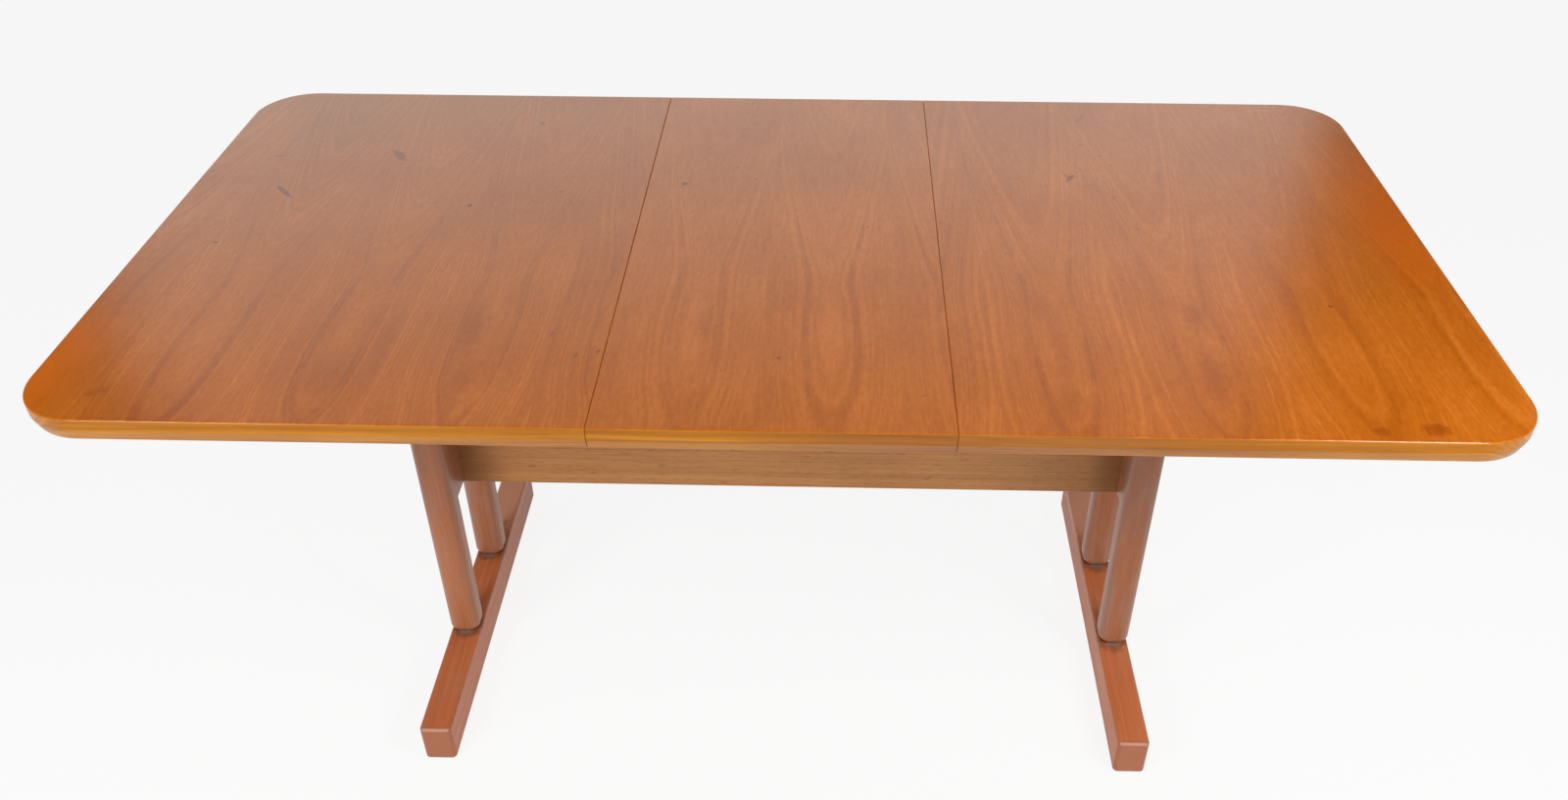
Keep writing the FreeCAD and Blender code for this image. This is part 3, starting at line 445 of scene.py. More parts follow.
@dataclass(frozen=True)
class FlameVeneer:
    """Veneer in equal sheets, each with the same flame: an oval eye in front and points behind.

    A growth ring shows where the depth d into the log is the same. With v the way across a
    sheet, d = sqrt(v * v + blunt * blunt) - slope - swell. The slope is nought at the neck and
    rises steadily behind it, which makes the nested points. The swell rises and falls once round
    the eye, and the hem lowers it in front, which closes the rings there.

    Attributes:
        join: X of a join between two sheets.
        eye: Y of the eye of the sheet to the right of that join.
        step: How much further back the eye lies in each sheet to the right.
        seed: A number that makes each board's noise its own.
        lift: How much lighter the board is than the middling tone.
        core: How much lighter the middle of the eye is.
        figure: Strength of the rings.
        spots: Marks on the board, and patches of painted light.
        sheet: Width of a sheet.
        neck: Distance from the eye's middle back to the neck.
        rise: How steeply the slope rises.
        swell: Height of the swell.
        hem: Depth of the hem.
        bend: How gently the slope sets in.
        heavy: Depth of the darkest ring, which outlines the eye.
        blunt: How round the points are.
        plain: Middling tone, between nought for dark and one for light.
        wander: How far the figure strays across the sheet and along it.
        warp: Waviness of the rings.
        bands: Broad rings of growth.
        rings: Fine rings in them.
        ring_cap: The noise at which a fine ring grows no lighter.
        late: Thin dark lines of late wood.
        worn: Breaks in the darkest ring, and its share.
        fibre: Long fibres.
        fleck: Short flecks.
        pores: Open pores.
        cloud: Slow changes of tone.
        tones: Colour of dark, middling and light wood.
        varnish: Shine and relief.
    """

    join: float
    eye: float
    step: float
    seed: float
    lift: float = 0.0
    core: float = 0.0
    figure: float = 1.0
    spots: tuple[Spot, ...] = ()
    sheet: float = 0.163
    neck: float = 0.14
    rise: float = 0.09
    swell: float = 0.004
    hem: float = 0.006
    bend: float = 0.004
    heavy: float = 0.0543
    blunt: float = 0.05
    plain: float = 0.56
    wander: tuple[float, float] = (0.016, 0.05)
    warp: Layer = Layer(3.0, 12.0, 0.0018)
    bands: Layer = Layer(0.8, 110.0, 0.56, 1.0)
    rings: Layer = Layer(0.9, 560.0, 0.18, 3.0, 0.6)
    ring_cap: float = 0.56
    late: Layer = Layer(0.5, 210.0, 0.16, 0.0)
    worn: Layer = Layer(14.0, 30.0, 0.15, 1.0)
    fibre: Layer = Layer(22.0, 460.0, 0.28)
    fleck: Layer = Layer(95.0, 230.0, 0.42, 2.0, 0.6)
    pores: Layer = Layer(60.0, 1500.0, 0.10, 1.0)
    cloud: Layer = Layer(5.0, 5.0, 0.46)
    tones: tuple[Triple, Triple, Triple] = (
        (0.350, 0.0735, 0.001),
        (0.510, 0.1275, 0.006),
        (0.690, 0.199, 0.026),
    )
    varnish: Varnish = Varnish(0.17, 0.10, 0.00004)

    def depth(
        self, shader: Shader, x: Socket, y: Socket, number: Socket
    ) -> tuple[Socket, Socket, Socket]:
        """The depth into the log, by the formula above, with a little waviness.

        Args:
            shader: The tree to build in.
            x: X of a point.
            y: Y of the point.
            number: Number of the point's sheet, counted from the join.

        Returns:
            The way across the sheet, the way back from the eye, and the depth.
        """
        stray = shader.noise((y * 2.5, number * 0.3, self.seed), 1.0) - 0.5
        across = x - self.join - (number + 0.5) * self.sheet + stray * self.wander[0]
        back = y - number * self.step + stray * self.wander[1] - self.eye
        climb = (back - self.neck) * self.rise
        slope = (climb + (climb * climb + self.bend**2).root()) * 0.5
        swell = (1.0 - abs(back).fade(0.02, self.neck + 0.03)) * self.swell
        swell = swell - (-back).fade(0.10, 0.20) * self.hem
        depth = (across * across + self.blunt**2).root() - slope - swell
        warp = self.warp.in_sheet(shader, x, y, number * 0.4 + self.seed) - 0.5
        return across, back, depth + warp * self.warp.share

    def material(self, name: str) -> bpy.types.Material:
        """The veneer as a material: rings by depth, and fibres, flecks and pores by place.

        Args:
            name: The material's name.

        Returns:
            The material.
        """
        material, shader = new_material(name)
        x, y, z = shader.place()
        number = ((x - self.join) / self.sheet).floor()
        across, back, depth = self.depth(shader, x, y, number)
        own = number * 0.15 + self.seed
        bands = self.bands.in_sheet(shader, depth, y, own)
        rings = self.rings.in_sheet(shader, depth, y, own).maths("MINIMUM", self.ring_cap)
        late = self.late.in_sheet(shader, depth, y, own + 40.0) - 0.5
        flank = abs(across).fade(0.004, 0.034) * 0.3 + 0.7
        line = (1.0 - abs(late).fade(0.02, 0.15)) * bands.fade(0.38, 0.62)
        worn = self.worn.in_sheet(shader, x, y, own).fade(0.30, 0.55)
        heavy = (1.0 - abs(depth - self.heavy).fade(0.0010, 0.0036)) * worn
        heavy = heavy * (1.0 - back.fade(0.15, 0.45))
        core = 1.0 - depth.fade(self.blunt - 0.0042, self.blunt - 0.0018)
        fibre = self.fibre.in_sheet(shader, x, y, self.seed)
        fleck = self.fleck.in_sheet(shader, x, y, self.seed)
        pores = self.pores.in_sheet(shader, x, y, self.seed).fade(0.60, 0.72)
        cloud = self.cloud.in_sheet(shader, x, y, number * 2.0 + self.seed)
        figure = (bands - 0.5) * self.bands.share + (rings - 0.48) * self.rings.share
        figure = (figure - line * self.late.share) * flank
        tone = figure * self.figure + (fibre - 0.5) * self.fibre.share
        tone = tone + (fleck - 0.5) * self.fleck.share + (cloud - 0.5) * self.cloud.share
        tone = tone - heavy * self.worn.share + core * (1.0 - back.fade(0.10, 0.14)) * self.core
        tone = tone + (self.plain + self.lift) - pores * self.pores.share
        colour = shader.ramp(tone, self.tones)
        for spot in self.spots:
            colour = spot.lay(shader, (x, y, z), colour)
        self.varnish.seal(shader, colour, fibre - pores * 0.5)
        return material


class Grain(Enum):
    """The way that a piece's grain runs, as the order of its axes: along, then across."""

    LENGTHWISE = (0, 1, 2)
    CROSSWISE = (1, 0, 2)
    UPRIGHT = (2, 0, 1)


@dataclass(frozen=True)
class SolidWood:
    """Solid wood, as rings about a heart line outside the piece, with fibres along the grain.

    Attributes:
        tones: Colour of dark, middling and light wood.
        varnish: Shine and relief.
        heart: Where the heart line lies from the piece's middle, in the two cross axes.
        ring: Rough distance between two rings.
        bow: How far the rings wander over a length of grain.
        figure: Strength of the rings.
        fibre: Long fibres.
        pores: Open pores.
        cloud: Slow changes of tone.
        patches: Pattern of the dull patches that use has left.
        dust: Colour and share of those patches.
    """

    tones: tuple[Triple, Triple, Triple]
    varnish: Varnish
    heart: tuple[float, float] = (0.035, 0.055)
    ring: float = 0.006
    bow: float = 0.02
    figure: float = 1.1
    fibre: Layer = Layer(10.0, 520.0, 0.55, 3.0, 0.6)
    pores: Layer = Layer(55.0, 1400.0, 0.12, 1.0)
    cloud: Layer = Layer(4.0, 9.0, 0.6)
    patches: Layer = Layer(7.0, 26.0, 1.0, 5.0, 0.75)
    dust: tuple[Triple, float] = ((0.30, 0.17, 0.12), 0.0)

    def material(
        self, name: str, grain: Grain, middle: Triple, spots: Sequence[Spot] = ()
    ) -> bpy.types.Material:
        """The wood of one piece.

        Args:
            name: The material's name.
            grain: The way the grain runs.
            middle: The middle of the piece, which the heart line is measured from.
            spots: Stains, worn places, and painted light and shade on the piece.

        Returns:
            The material.
        """
        material, shader = new_material(name)
        point = shader.place()
        along, first, second = (point[axis] for axis in grain.value)
        _, middle_first, middle_second = (middle[axis] for axis in grain.value)
        seed = sum(middle) * 7.0
        drift = shader.noise((along * 1.6, seed, 0.0), 1.0) - 0.5
        across = first - (middle_first + self.heart[0]) + drift * self.bow
        depth = second - (middle_second + self.heart[1]) + drift * self.bow
        radius = (across * across + depth * depth).root()
        rings = shader.noise((radius / self.ring, along * 0.9, seed), 3.0, 0.6)
        fibre = self.fibre.in_solid(shader, along, first, second)
        pores = self.pores.in_solid(shader, along, first, second).fade(0.58, 0.70)
        cloud = self.cloud.in_solid(shader, along, first, second, seed)
        tone = (rings - 0.5) * self.figure + (fibre - 0.5) * self.fibre.share
        tone = tone + (cloud - 0.5) * self.cloud.share + 0.5 - pores * self.pores.share
        colour = shader.ramp(tone, self.tones)
        if self.dust[1]:
            patches = self.patches.in_solid(shader, along, first, second, seed)
            colour = shader.mix(patches.fade(0.42, 0.72) * self.dust[1], colour, self.dust[0])
        for spot in spots:
            colour = spot.lay(shader, point, colour)
        self.varnish.seal(shader, colour, fibre - pores * 0.5)
        return material


@dataclass(frozen=True)
class Speckled:
    """Metal or plastic with fine dull specks.

    Attributes:
        tone: Its colour.
        speck: Colour of the specks.
        share: How much of the colour a speck hides.
        edges: Values of the noise where specks begin and where they are full.
        fineness: Specks to a metre.
        ragged: How rough the specks' outlines are.
        roughness: Roughness of the cleanest places.
        relief: Height of the specks.
        strength: How strongly that height shows.
        metallic: One for metal and nought for plastic.
    """

    tone: Triple
    speck: Triple
    share: float
    edges: tuple[float, float]
    fineness: float
    ragged: float
    roughness: float
    relief: float
    strength: float
    metallic: float = 0.0

    def material(self, name: str) -> bpy.types.Material:
        """The metal or plastic as a material.

        Args:
            name: The material's name.

        Returns:
            The material.
        """
        material, shader = new_material(name)
        point = [axis * self.fineness for axis in shader.place()]
        dull = shader.noise(point, 3.0, self.ragged)
        colour = shader.mix(dull.fade(*self.edges) * self.share, self.tone, self.speck)
        roughness = dull * 0.3 + self.roughness
        inputs = {"Base Color": colour, "Metallic": self.metallic, "Roughness": roughness}
        shader.coat(dull, self.relief, self.strength, inputs)
        return material


SATIN = Varnish(0.36, 0.20, 0.00005, 0.4)
DRY = Varnish(0.42, 0.22, 0.00006)

LIPPING = SolidWood(
    tones=((0.27, 0.085, 0.006), (0.46, 0.160, 0.010), (0.66, 0.270, 0.024)),
    varnish=Varnish(0.30, 0.15, 0.00004, 0.38),
    heart=(0.012, 0.020),
    ring=0.0042,
    bow=0.016,
    figure=1.0,
)
FRAME_WOOD = SolidWood(
    tones=((0.24, 0.077, 0.030), (0.39, 0.130, 0.049), (0.52, 0.192, 0.082)),
    varnish=SATIN,
    figure=0.8,
    dust=((0.33, 0.20, 0.15), 0.55),
)
FOOT_WOOD = SolidWood(
    tones=((0.37, 0.100, 0.034), (0.56, 0.158, 0.052), (0.70, 0.220, 0.080)),
    varnish=Varnish(0.42, 0.20, 0.00005, 0.3),
    figure=0.6,
    dust=((0.40, 0.24, 0.17), 0.25),
)
STRETCHER_WOOD = SolidWood(
    tones=((0.29, 0.112, 0.028), (0.48, 0.200, 0.052), (0.64, 0.300, 0.095)),
    varnish=DRY,
    heart=(0.09, 0.16),
    ring=0.0045,
    bow=0.012,
    figure=0.8,
    pores=Layer(55.0, 620.0, 0.26, 1.0),
)
BOARD_WOOD = SolidWood(
    tones=((0.30, 0.150, 0.065), (0.44, 0.235, 0.110), (0.56, 0.330, 0.170)),
    varnish=DRY,
    heart=(0.3, 0.12),
    ring=0.009,
)
BEECH = SolidWood(
    tones=((0.46, 0.270, 0.130), (0.60, 0.390, 0.210), (0.70, 0.490, 0.300)),
    varnish=DRY,
    heart=(0.05, 0.08),
    ring=0.005,
    figure=0.7,
)
STEEL = Speckled(
    tone=(0.50, 0.49, 0.46),
    speck=(0.22, 0.19, 0.15),
    share=0.6,
    edges=(0.45, 0.75),
    fineness=420.0,
    ragged=0.5,
    roughness=0.25,
    relief=0.00005,
    strength=0.4,
    metallic=1.0,
)
PLASTIC = Speckled(
    tone=(0.030, 0.027, 0.025),
    speck=(0.16, 0.14, 0.12),
    share=0.7,
    edges=(0.5, 0.8),
    fineness=900.0,
    ragged=0.7,
    roughness=0.4,
    relief=0.0001,
    strength=0.5,
)


def middle_of(node: str) -> Triple:
    """The middle of a CAD node's box."""
    low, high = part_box(node)
    return tuple((low + high) / 2)


def dress(frame: Mapping[str, Mapping], node: str, material: bpy.types.Material) -> None:
    """Puts one material on a CAD node and reports it.

    Args:
        frame: The loaded CAD model.
        node: The node's name.
        material: The material.
    """
    slots = frame["nodes"][node].data.materials
    slots.clear()
    slots.append(material)
    LOG.info("dressed %s", node)


# The sub-assemblies


@dataclass
class TableTop:
    """The two halves and the leaf: veneer, lippings and boards.

    Attributes:
        grime: Colour of the dents and scratches.
        streak: Colour of the darker streaks in the veneer.
        painted_light_left: Colour of the bright patch at the left end, a painted pool of light.
        painted_light_right: Colour of the bright patch at the right end, a painted pool of light.
        painted_edge_shade: Colour of the painted shade along the middle of the front edge.
        veneers: The veneer of each board.
    """

    grime: Triple = (0.170, 0.015, 0.001)
    streak: Triple = (0.290, 0.055, 0.002)
    painted_light_left: Triple = (0.700, 0.150, 0.003)
    painted_light_right: Triple = (0.620, 0.108, 0.001)
    painted_edge_shade: Triple = (0.24, 0.090, 0.050)
    veneers: Mapping[str, FlameVeneer] = field(init=False)

    def __post_init__(self) -> None:
        """Lays out the veneers and their marks."""
        self.veneers = {
            "left": FlameVeneer(
                join=-0.4310,
                eye=-0.242,
                step=0.02,
                seed=3.1,
                lift=-0.055,
                core=0.07,
                spots=self.left_marks(),
            ),
            "leaf": FlameVeneer(
                join=-0.0200,
                eye=-0.251,
                step=-0.015,
                seed=8.4,
                core=0.12,
                figure=0.6,
                spots=self.leaf_marks(),
            ),
            "right": FlameVeneer(
                join=0.416,
                eye=-0.265,
                step=0.005,
                seed=5.7,
                lift=-0.035,
                core=-0.05,
                figure=0.82,
                spots=self.right_marks(),
            ),
        }

    def marks(self, *rows: Sequence[float]) -> tuple[Spot, ...]:
        """Dents, scratches and stains.

        Args:
            rows: X, Y, length, width, turn in degrees from the X axis, and strength of each.

        Returns:
            The spots.
        """
        return tuple(
            Spot((x, y, 0.0), (length / 2, width / 2, 0.0), self.grime, strength, turn)
            for x, y, length, width, turn, strength in rows
        )

    def streaks(self, *rows: Sequence[float]) -> tuple[Spot, ...]:
        """Soft, ragged dark streaks across the table, in the wood itself.

        Args:
            rows: X, Y, length, width and strength of each.

        Returns:
            The spots.
        """
        return tuple(
            Spot(
                (x, y, 0.0),
                (width / 2, length / 2, 0.0),
                self.streak,
                strength,
                core=0.1,
                ragged=0.45,
            )
            for x, y, length, width, strength in rows
        )

    def left_marks(self) -> tuple[Spot, ...]:
        """A painted pool of light, dark streaks, two scratches and dents of the left half.

        Returns:
            The spots, in the order in which they are laid.
        """
        # Painted light: the left front corner brighter and more orange, as where the lamp falls
        # strongest.
        bright = Spot(
            (-0.830, -0.330, 0.0),
            (0.070, 0.170, 0.0),
            self.painted_light_left,
            0.66,
            core=0.1,
            ragged=0.3,
        )
        streaks = self.streaks(
            (-0.364, -0.240, 0.150, 0.050, 0.40),
            (-0.357, -0.350, 0.110, 0.050, 0.34),
            (-0.463, -0.270, 0.200, 0.036, 0.26),
            (-0.513, -0.330, 0.130, 0.060, 0.26),
        )
        marks = self.marks(
            (-0.579, 0.212, 0.054, 0.017, -54.0, 0.62),
            (-0.711, 0.096, 0.060, 0.010, -48.0, 0.75),
            (-0.441, 0.063, 0.010, 0.012, 0.0, 0.80),
            (-0.390, 0.328, 0.009, 0.014, 0.0, 0.60),
            (-0.322, 0.106, 0.007, 0.008, 0.0, 0.60),
            (-0.756, 0.205, 0.020, 0.010, 20.0, 0.45),
            (-0.752, -0.047, 0.010, 0.008, 0.0, 0.55),
            (-0.756, -0.377, 0.045, 0.016, 25.0, 0.22),
            (-0.269, -0.249, 0.005, 0.014, -15.0, 0.40),
            (-0.234, -0.293, 0.005, 0.010, -20.0, 0.50),
            (-0.209, -0.284, 0.006, 0.013, -20.0, 0.55),
        )
        return (bright, *streaks, *marks)

    def leaf_marks(self) -> tuple[Spot, ...]:
        """A dark streak and small dents of the leaf.

        Returns:
            The spots, in the order in which they are laid.
        """
        streaks = self.streaks((-0.090, -0.225, 0.090, 0.034, 0.32))
        marks = self.marks(
            (-0.150, 0.134, 0.011, 0.012, 0.0, 0.75),
            (-0.050, 0.151, 0.006, 0.008, 0.0, 0.60),
            (-0.078, 0.188, 0.006, 0.012, 0.0, 0.45),
            (0.109, 0.018, 0.006, 0.008, 0.0, 0.35),
            (0.002, -0.292, 0.006, 0.007, 0.0, 0.60),
            (0.167, -0.361, 0.014, 0.005, 30.0, 0.20),
        )
        return streaks + marks

    def right_marks(self) -> tuple[Spot, ...]:
        """Specks, dark streaks, a painted pool of light, a scuff and two stains of the right half.

        Returns:
            The spots, in the order in which they are laid.
        """
        trail = (
            (0.431, 0.275),
            (0.454, 0.240),
            (0.466, 0.209),
            (0.438, 0.164),
            (0.453, 0.108),
            (0.473, 0.022),
            (0.430, -0.109),
        )
        specks = self.marks(*((x, y, 0.007, 0.009, 0.0, 0.35) for x, y in trail))
        streaks = self.streaks(
            (0.504, -0.190, 0.120, 0.046, 0.46),
            (0.499, -0.320, 0.150, 0.050, 0.42),
            (0.327, -0.372, 0.090, 0.056, 0.34),
            (0.318, -0.168, 0.110, 0.040, 0.28),
        )
        # Painted light: the right end brighter and more orange, as where the lamp falls strongest.
        bright = Spot(
            (0.822, 0.060, 0.0),
            (0.085, 0.270, 0.0),
            self.painted_light_right,
            0.55,
            core=0.1,
            ragged=0.3,
        )
        marks = self.marks(
            (0.401, 0.167, 0.034, 0.010, 60.0, 0.70),
            (0.396, 0.174, 0.016, 0.008, 100.0, 0.45),
            (0.442, 0.368, 0.050, 0.009, 58.0, 0.30),
            (0.676, -0.164, 0.008, 0.010, 0.0, 0.50),
            (0.718, -0.408, 0.040, 0.028, 10.0, 0.40),
            (0.658, -0.413, 0.024, 0.020, 0.0, 0.30),
        )
        return (*specks, *streaks, bright, *marks)

    def build(self, frame: Mapping[str, Mapping]) -> None:
        """Dresses every board, lipping and veneer.

        Args:
            frame: The loaded CAD model.
        """
        # Painted shade: the middle of the front lippings darker, where less light reaches them
        # than the ends.
        edge_shade = Spot(
            (0.24, -0.43, 0.0), (0.34, 0.1, 0.0), self.painted_edge_shade, 0.3, core=0.3, ragged=0.1
        )
        for board, veneer in self.veneers.items():
            dress(frame, f"{board}_veneer", veneer.material(f"{board}_veneer"))
            node = f"{board}_panel"
            material = BOARD_WOOD.material(node, Grain.CROSSWISE, middle_of(node))
            dress(frame, node, material)
            for side in ("front", "back"):
                node = f"{board}_{side}_lipping"
                material = LIPPING.material(node, Grain.LENGTHWISE, middle_of(node), [edge_shade])
                dress(frame, node, material)
        for end in ("left", "right"):
            node = f"{end}_end_lipping"
            dress(frame, node, LIPPING.material(node, Grain.CROSSWISE, middle_of(node)))


@dataclass
class Trestles:
    """Feet, columns, cross rails, bearers and stretcher.

    Attributes:
        column_y: Distance of a column from the middle, across the table.
        grime: Colour of old grime, and of the painted shade round each column's toe.
        ash: Colour of dust.
        end_grain: Colour of a foot's ends.
        worn: Colour of the painted highlight along the arris over a foot's ends.
        shade: Colour of the painted shade on the stretcher near its ends, by the columns.
        dust_and_painted_light: Colour of the dust on a foot's back, lightened as painted light in
            the top's shade.
        painted_column_shade: Colour of the painted shade on the columns' upper parts, under the
            table top.
        painted_shade_stretches: Middle, reach and strength of each stretch of painted shade on the
            stretcher.
    """

    column_y: float = 0.087
    grime: Triple = (0.055, 0.032, 0.024)
    ash: Triple = (0.30, 0.25, 0.21)
    end_grain: Triple = (0.38, 0.135, 0.066)
    worn: Triple = (0.66, 0.38, 0.27)
    shade: Triple = (0.13, 0.050, 0.018)
    dust_and_painted_light: Triple = (0.74, 0.38, 0.25)
    painted_column_shade: Triple = (0.20, 0.115, 0.085)
    painted_shade_stretches: tuple[Triple, ...] = (
        (-0.50, 0.05, 0.42),
        (0.50, 0.06, 0.42),
        (0.48, 0.26, 0.28),
    )

    def foot_spots(self, foot: str) -> list[Spot]:
        """End grain, a painted highlight on the arrises, dust lightened as painted light, and old
        grime with painted shade and ash round the toe of each column.

        Args:
            foot: The foot's node.

        Returns:
            The spots.
        """
        low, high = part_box(foot)
        middle, top = middle_of(foot)[0], high[2]
        spots = []
        for end in (low[1], high[1]):
            cut = Spot((0.0, end, 0.0), (0.0, 0.007, 0.0), self.end_grain, 0.8, ragged=0.1)
            # Painted highlight: the rounded arris over each end lighter, as where it catches the
            # lamps.
            arris = Spot((0.0, end, top), (0.0, 0.0045, 0.0045), self.worn, 0.55, ragged=0.2)
            spots += [cut, arris]
        # Dust on the back of each foot, lightened as painted light where the top shades it.
        spots.append(Spot((0.0, 0.24, top), (0.0, 0.13, 0.02), self.dust_and_painted_light, 0.6))
        # Round each column's toe: a dark ring of old grime with painted shade where column meets
        # foot, and ash.
        for y in (-self.column_y, self.column_y):
            ring = Spot((middle, y, top), (0.034, 0.040, 0.02), self.grime, 0.6, core=0.45)
            toe = (middle, y - 0.018, top)
            spots += [ring, Spot(toe, (0.016, 0.009, 0.01), self.ash, 0.55, core=0.3)]
        return spots

    def build(self, frame: Mapping[str, Mapping]) -> None:
        """Dresses every piece of the two trestles and the stretcher.

        Args:
            frame: The loaded CAD model.
        """
        # Painted shade: the columns darker round their upper parts, under the table top.
        dull = Spot((0.0, 0.0, 0.41), (0.0, 0.0, 0.17), self.painted_column_shade, 0.22, core=0.2)
        for end in ("left", "right"):
            node = f"foot_{end}"
            spots = self.foot_spots(node)
            material = FOOT_WOOD.material(node, Grain.CROSSWISE, middle_of(node), spots)
            dress(frame, node, material)
            for side in ("front", "back"):
                node = f"column_{end}_{side}"
                material = FRAME_WOOD.material(node, Grain.UPRIGHT, middle_of(node), [dull])
                dress(frame, node, material)
            for kind in ("cross_rail", "bearer"):
                node = f"{kind}_{end}"
                material = FRAME_WOOD.material(node, Grain.CROSSWISE, middle_of(node))
                dress(frame, node, material)
        node = "stretcher"
        # Painted shade: the stretcher darker near its ends, by the columns and cross rails.
        spots = [
            Spot((x, 0.0, 0.0), (reach, 0.0, 0.0), self.shade, strength, core=0.2, ragged=0.1)
            for x, reach, strength in self.painted_shade_stretches
        ]
        material = STRETCHER_WOOD.material(node, Grain.LENGTHWISE, middle_of(node), spots)
        dress(frame, node, material)


@dataclass
class SlideFrame:
    """Slide rails, runners, battens and tie under the top, in beech.

    Attributes:
        rails: The slide rails' nodes.
        halves: The halves of the top, which have runners and a batten each.
    """

    rails: tuple[str, ...] = ("slide_rail_front", "slide_rail_back")
    halves: tuple[str, ...] = ("left", "right")

    def build(self, frame: Mapping[str, Mapping]) -> None:
        """Dresses the sliding parts.

        Args:
            frame: The loaded CAD model.
        """
        lengthwise = list(self.rails)
        crosswise = ["rail_tie", "cross_rail_dowels"]
        for half in self.halves:
            lengthwise += [f"{half}_runner_front", f"{half}_runner_back"]
            crosswise.append(f"{half}_batten")
        for grain, nodes in ((Grain.LENGTHWISE, lengthwise), (Grain.CROSSWISE, crosswise)):
            for node in nodes:
                dress(frame, node, BEECH.material(node, grain, middle_of(node)))


# Fastenings, as surfaces of revolution worked out in numpy


def ring_surface(rings: np.ndarray, start: Triple, end: Triple) -> Skin:
    """Joins rings of points into a closed skin.

    Args:
        rings: Points in an array of rings, points and coordinates. The rings run anticlockwise
            as seen from the end.
        start: The pole before the first ring.
        end: The pole after the last ring.

    Returns:
        The points and the faces, which point outwards. Quads join each ring to the next, and a
        fan closes each end.
    """
    count, around, _ = rings.shape
    points = np.vstack([rings.reshape(-1, 3), [start], [end]])
    index = np.arange(count * around).reshape(count, around)
    near, far = index, np.roll(index, -1, axis=1)
    quads = np.stack([near[:-1], far[:-1], far[1:], near[1:]], axis=-1).reshape(-1, 4)
    first, last = count * around, count * around + 1
    fan_start = np.stack([np.full(around, first), far[0], near[0]], axis=-1)
    fan_end = np.stack([np.full(around, last), near[-1], far[-1]], axis=-1)
    return points, quads.tolist() + fan_start.tolist() + fan_end.tolist()


@dataclass(frozen=True)
class Screw:
    """A slotted screw that points up, drawn from its head's face to its tip.

    Attributes:
        head: Radius of the head.
        head_height: Height of the head.
        shank: Radius of the shank over its thread.
        length: Whole length.
        countersunk: Whether the head narrows to the shank, or else is domed.
        slot_width: Width of the slot.
        slot_depth: Depth of the slot.
        pitch: Distance between two turns of the thread.
        threaded: Share of the length under the head that is threaded.
        around: Points round the screw.
        turn_rows: Rows of points in a turn of the thread.
        core: Radius between the ridges of the thread, as a share of the shank's.
        rim: Radius of the face inside its worn edge, as a share of the head's.
        doming: How far a domed face falls off, as a share of the head's height.
        lip: Height of a countersunk head's upright edge, as a share of the head's height.
        steep: How steep the ridges of the thread are.
        tip: Radius of the blunt tip, as a share of the core's.
    """

    head: float
    head_height: float
    shank: float
    length: float
    countersunk: bool = True
    slot_width: float = 0.0012
    slot_depth: float = 0.0011
    pitch: float = 0.0018
    threaded: float = 0.6
    around: int = 20
    turn_rows: int = 5
    core: float = 0.86
    rim: float = 0.96
    doming: float = 0.55
    lip: float = 0.2
    steep: float = 3.2
    tip: float = 0.35

    def head_rows(self, angle: np.ndarray) -> list[tuple[np.ndarray, Operand]]:
        """The rows of points over the slot, the head's face and its side.

        The slot's edge lies at half its width over the sine of the angle, so that rows of the
        grid follow it. The face is flat, or a shallow dome that falls off as r squared.

        Args:
            angle: The angle of each point round the screw.

        Returns:
            The radius and the height of each row.
        """
        rim = self.head * self.rim
        sine = np.maximum(np.abs(np.sin(angle)), 1e-6)
        edge = np.minimum(rim, self.slot_width / 2 / sine)
        dome = 0.0 if self.countersunk else self.head_height * self.doming
        rows = [(edge * share, self.slot_depth) for share in (0.5, 1.0)]
        for share in (0.0, 0.5, 1.0):
            radius = edge + (rim - edge) * share
            rows.append((radius, dome * (radius / self.head) ** 2))
        full = np.full_like(angle, self.head)
        side = self.head_height * (self.lip if self.countersunk else 1.0)
        return rows + [(full, dome + self.head * 0.03), (full, side)]

    def shank_rows(self, angle: np.ndarray) -> list[tuple[np.ndarray, Operand]]:
        """The rows of points down the shank. The thread is a ridge that climbs a pitch each turn.

        Args:
            angle: The angle of each point round the screw.

        Returns:
            The radius and the height of each row.
        """
        core = self.shank * self.core
        neck = np.full_like(angle, core)
        start = self.head_height + (self.length - self.head_height) * (1.0 - self.threaded)
        rows = [(neck, self.head_height), (neck, start)]
        turns = (self.length - start - self.shank * 2) / self.pitch
        for step in np.arange(1, int(turns * self.turn_rows) + 1) / self.turn_rows:
            phase = (step - angle / math.tau) % 1.0
            ridge = np.maximum(0.0, 1.0 - np.abs(phase - 0.5) * self.steep)
            rows.append((core + (self.shank - core) * ridge, start + step * self.pitch))
        rows.append((neck, self.length - self.shank * 1.6))
        rows.append((neck * self.tip, self.length - 0.0004))
        return rows

    def skin(self) -> Skin:
        """The screw's surface: radius and height as functions of a row and an angle.

        Returns:
            Its points and faces.
        """
        angle = np.arange(self.around) / self.around * math.tau
        rows = self.head_rows(angle) + self.shank_rows(angle)
        radius = np.array([row[0] for row in rows])
        height = np.array([row[1] + angle * 0.0 for row in rows])
        rings = np.stack([radius * np.cos(angle), radius * np.sin(angle), height], axis=-1)
        return ring_surface(rings, (0.0, 0.0, self.slot_depth), (0.0, 0.0, self.length))


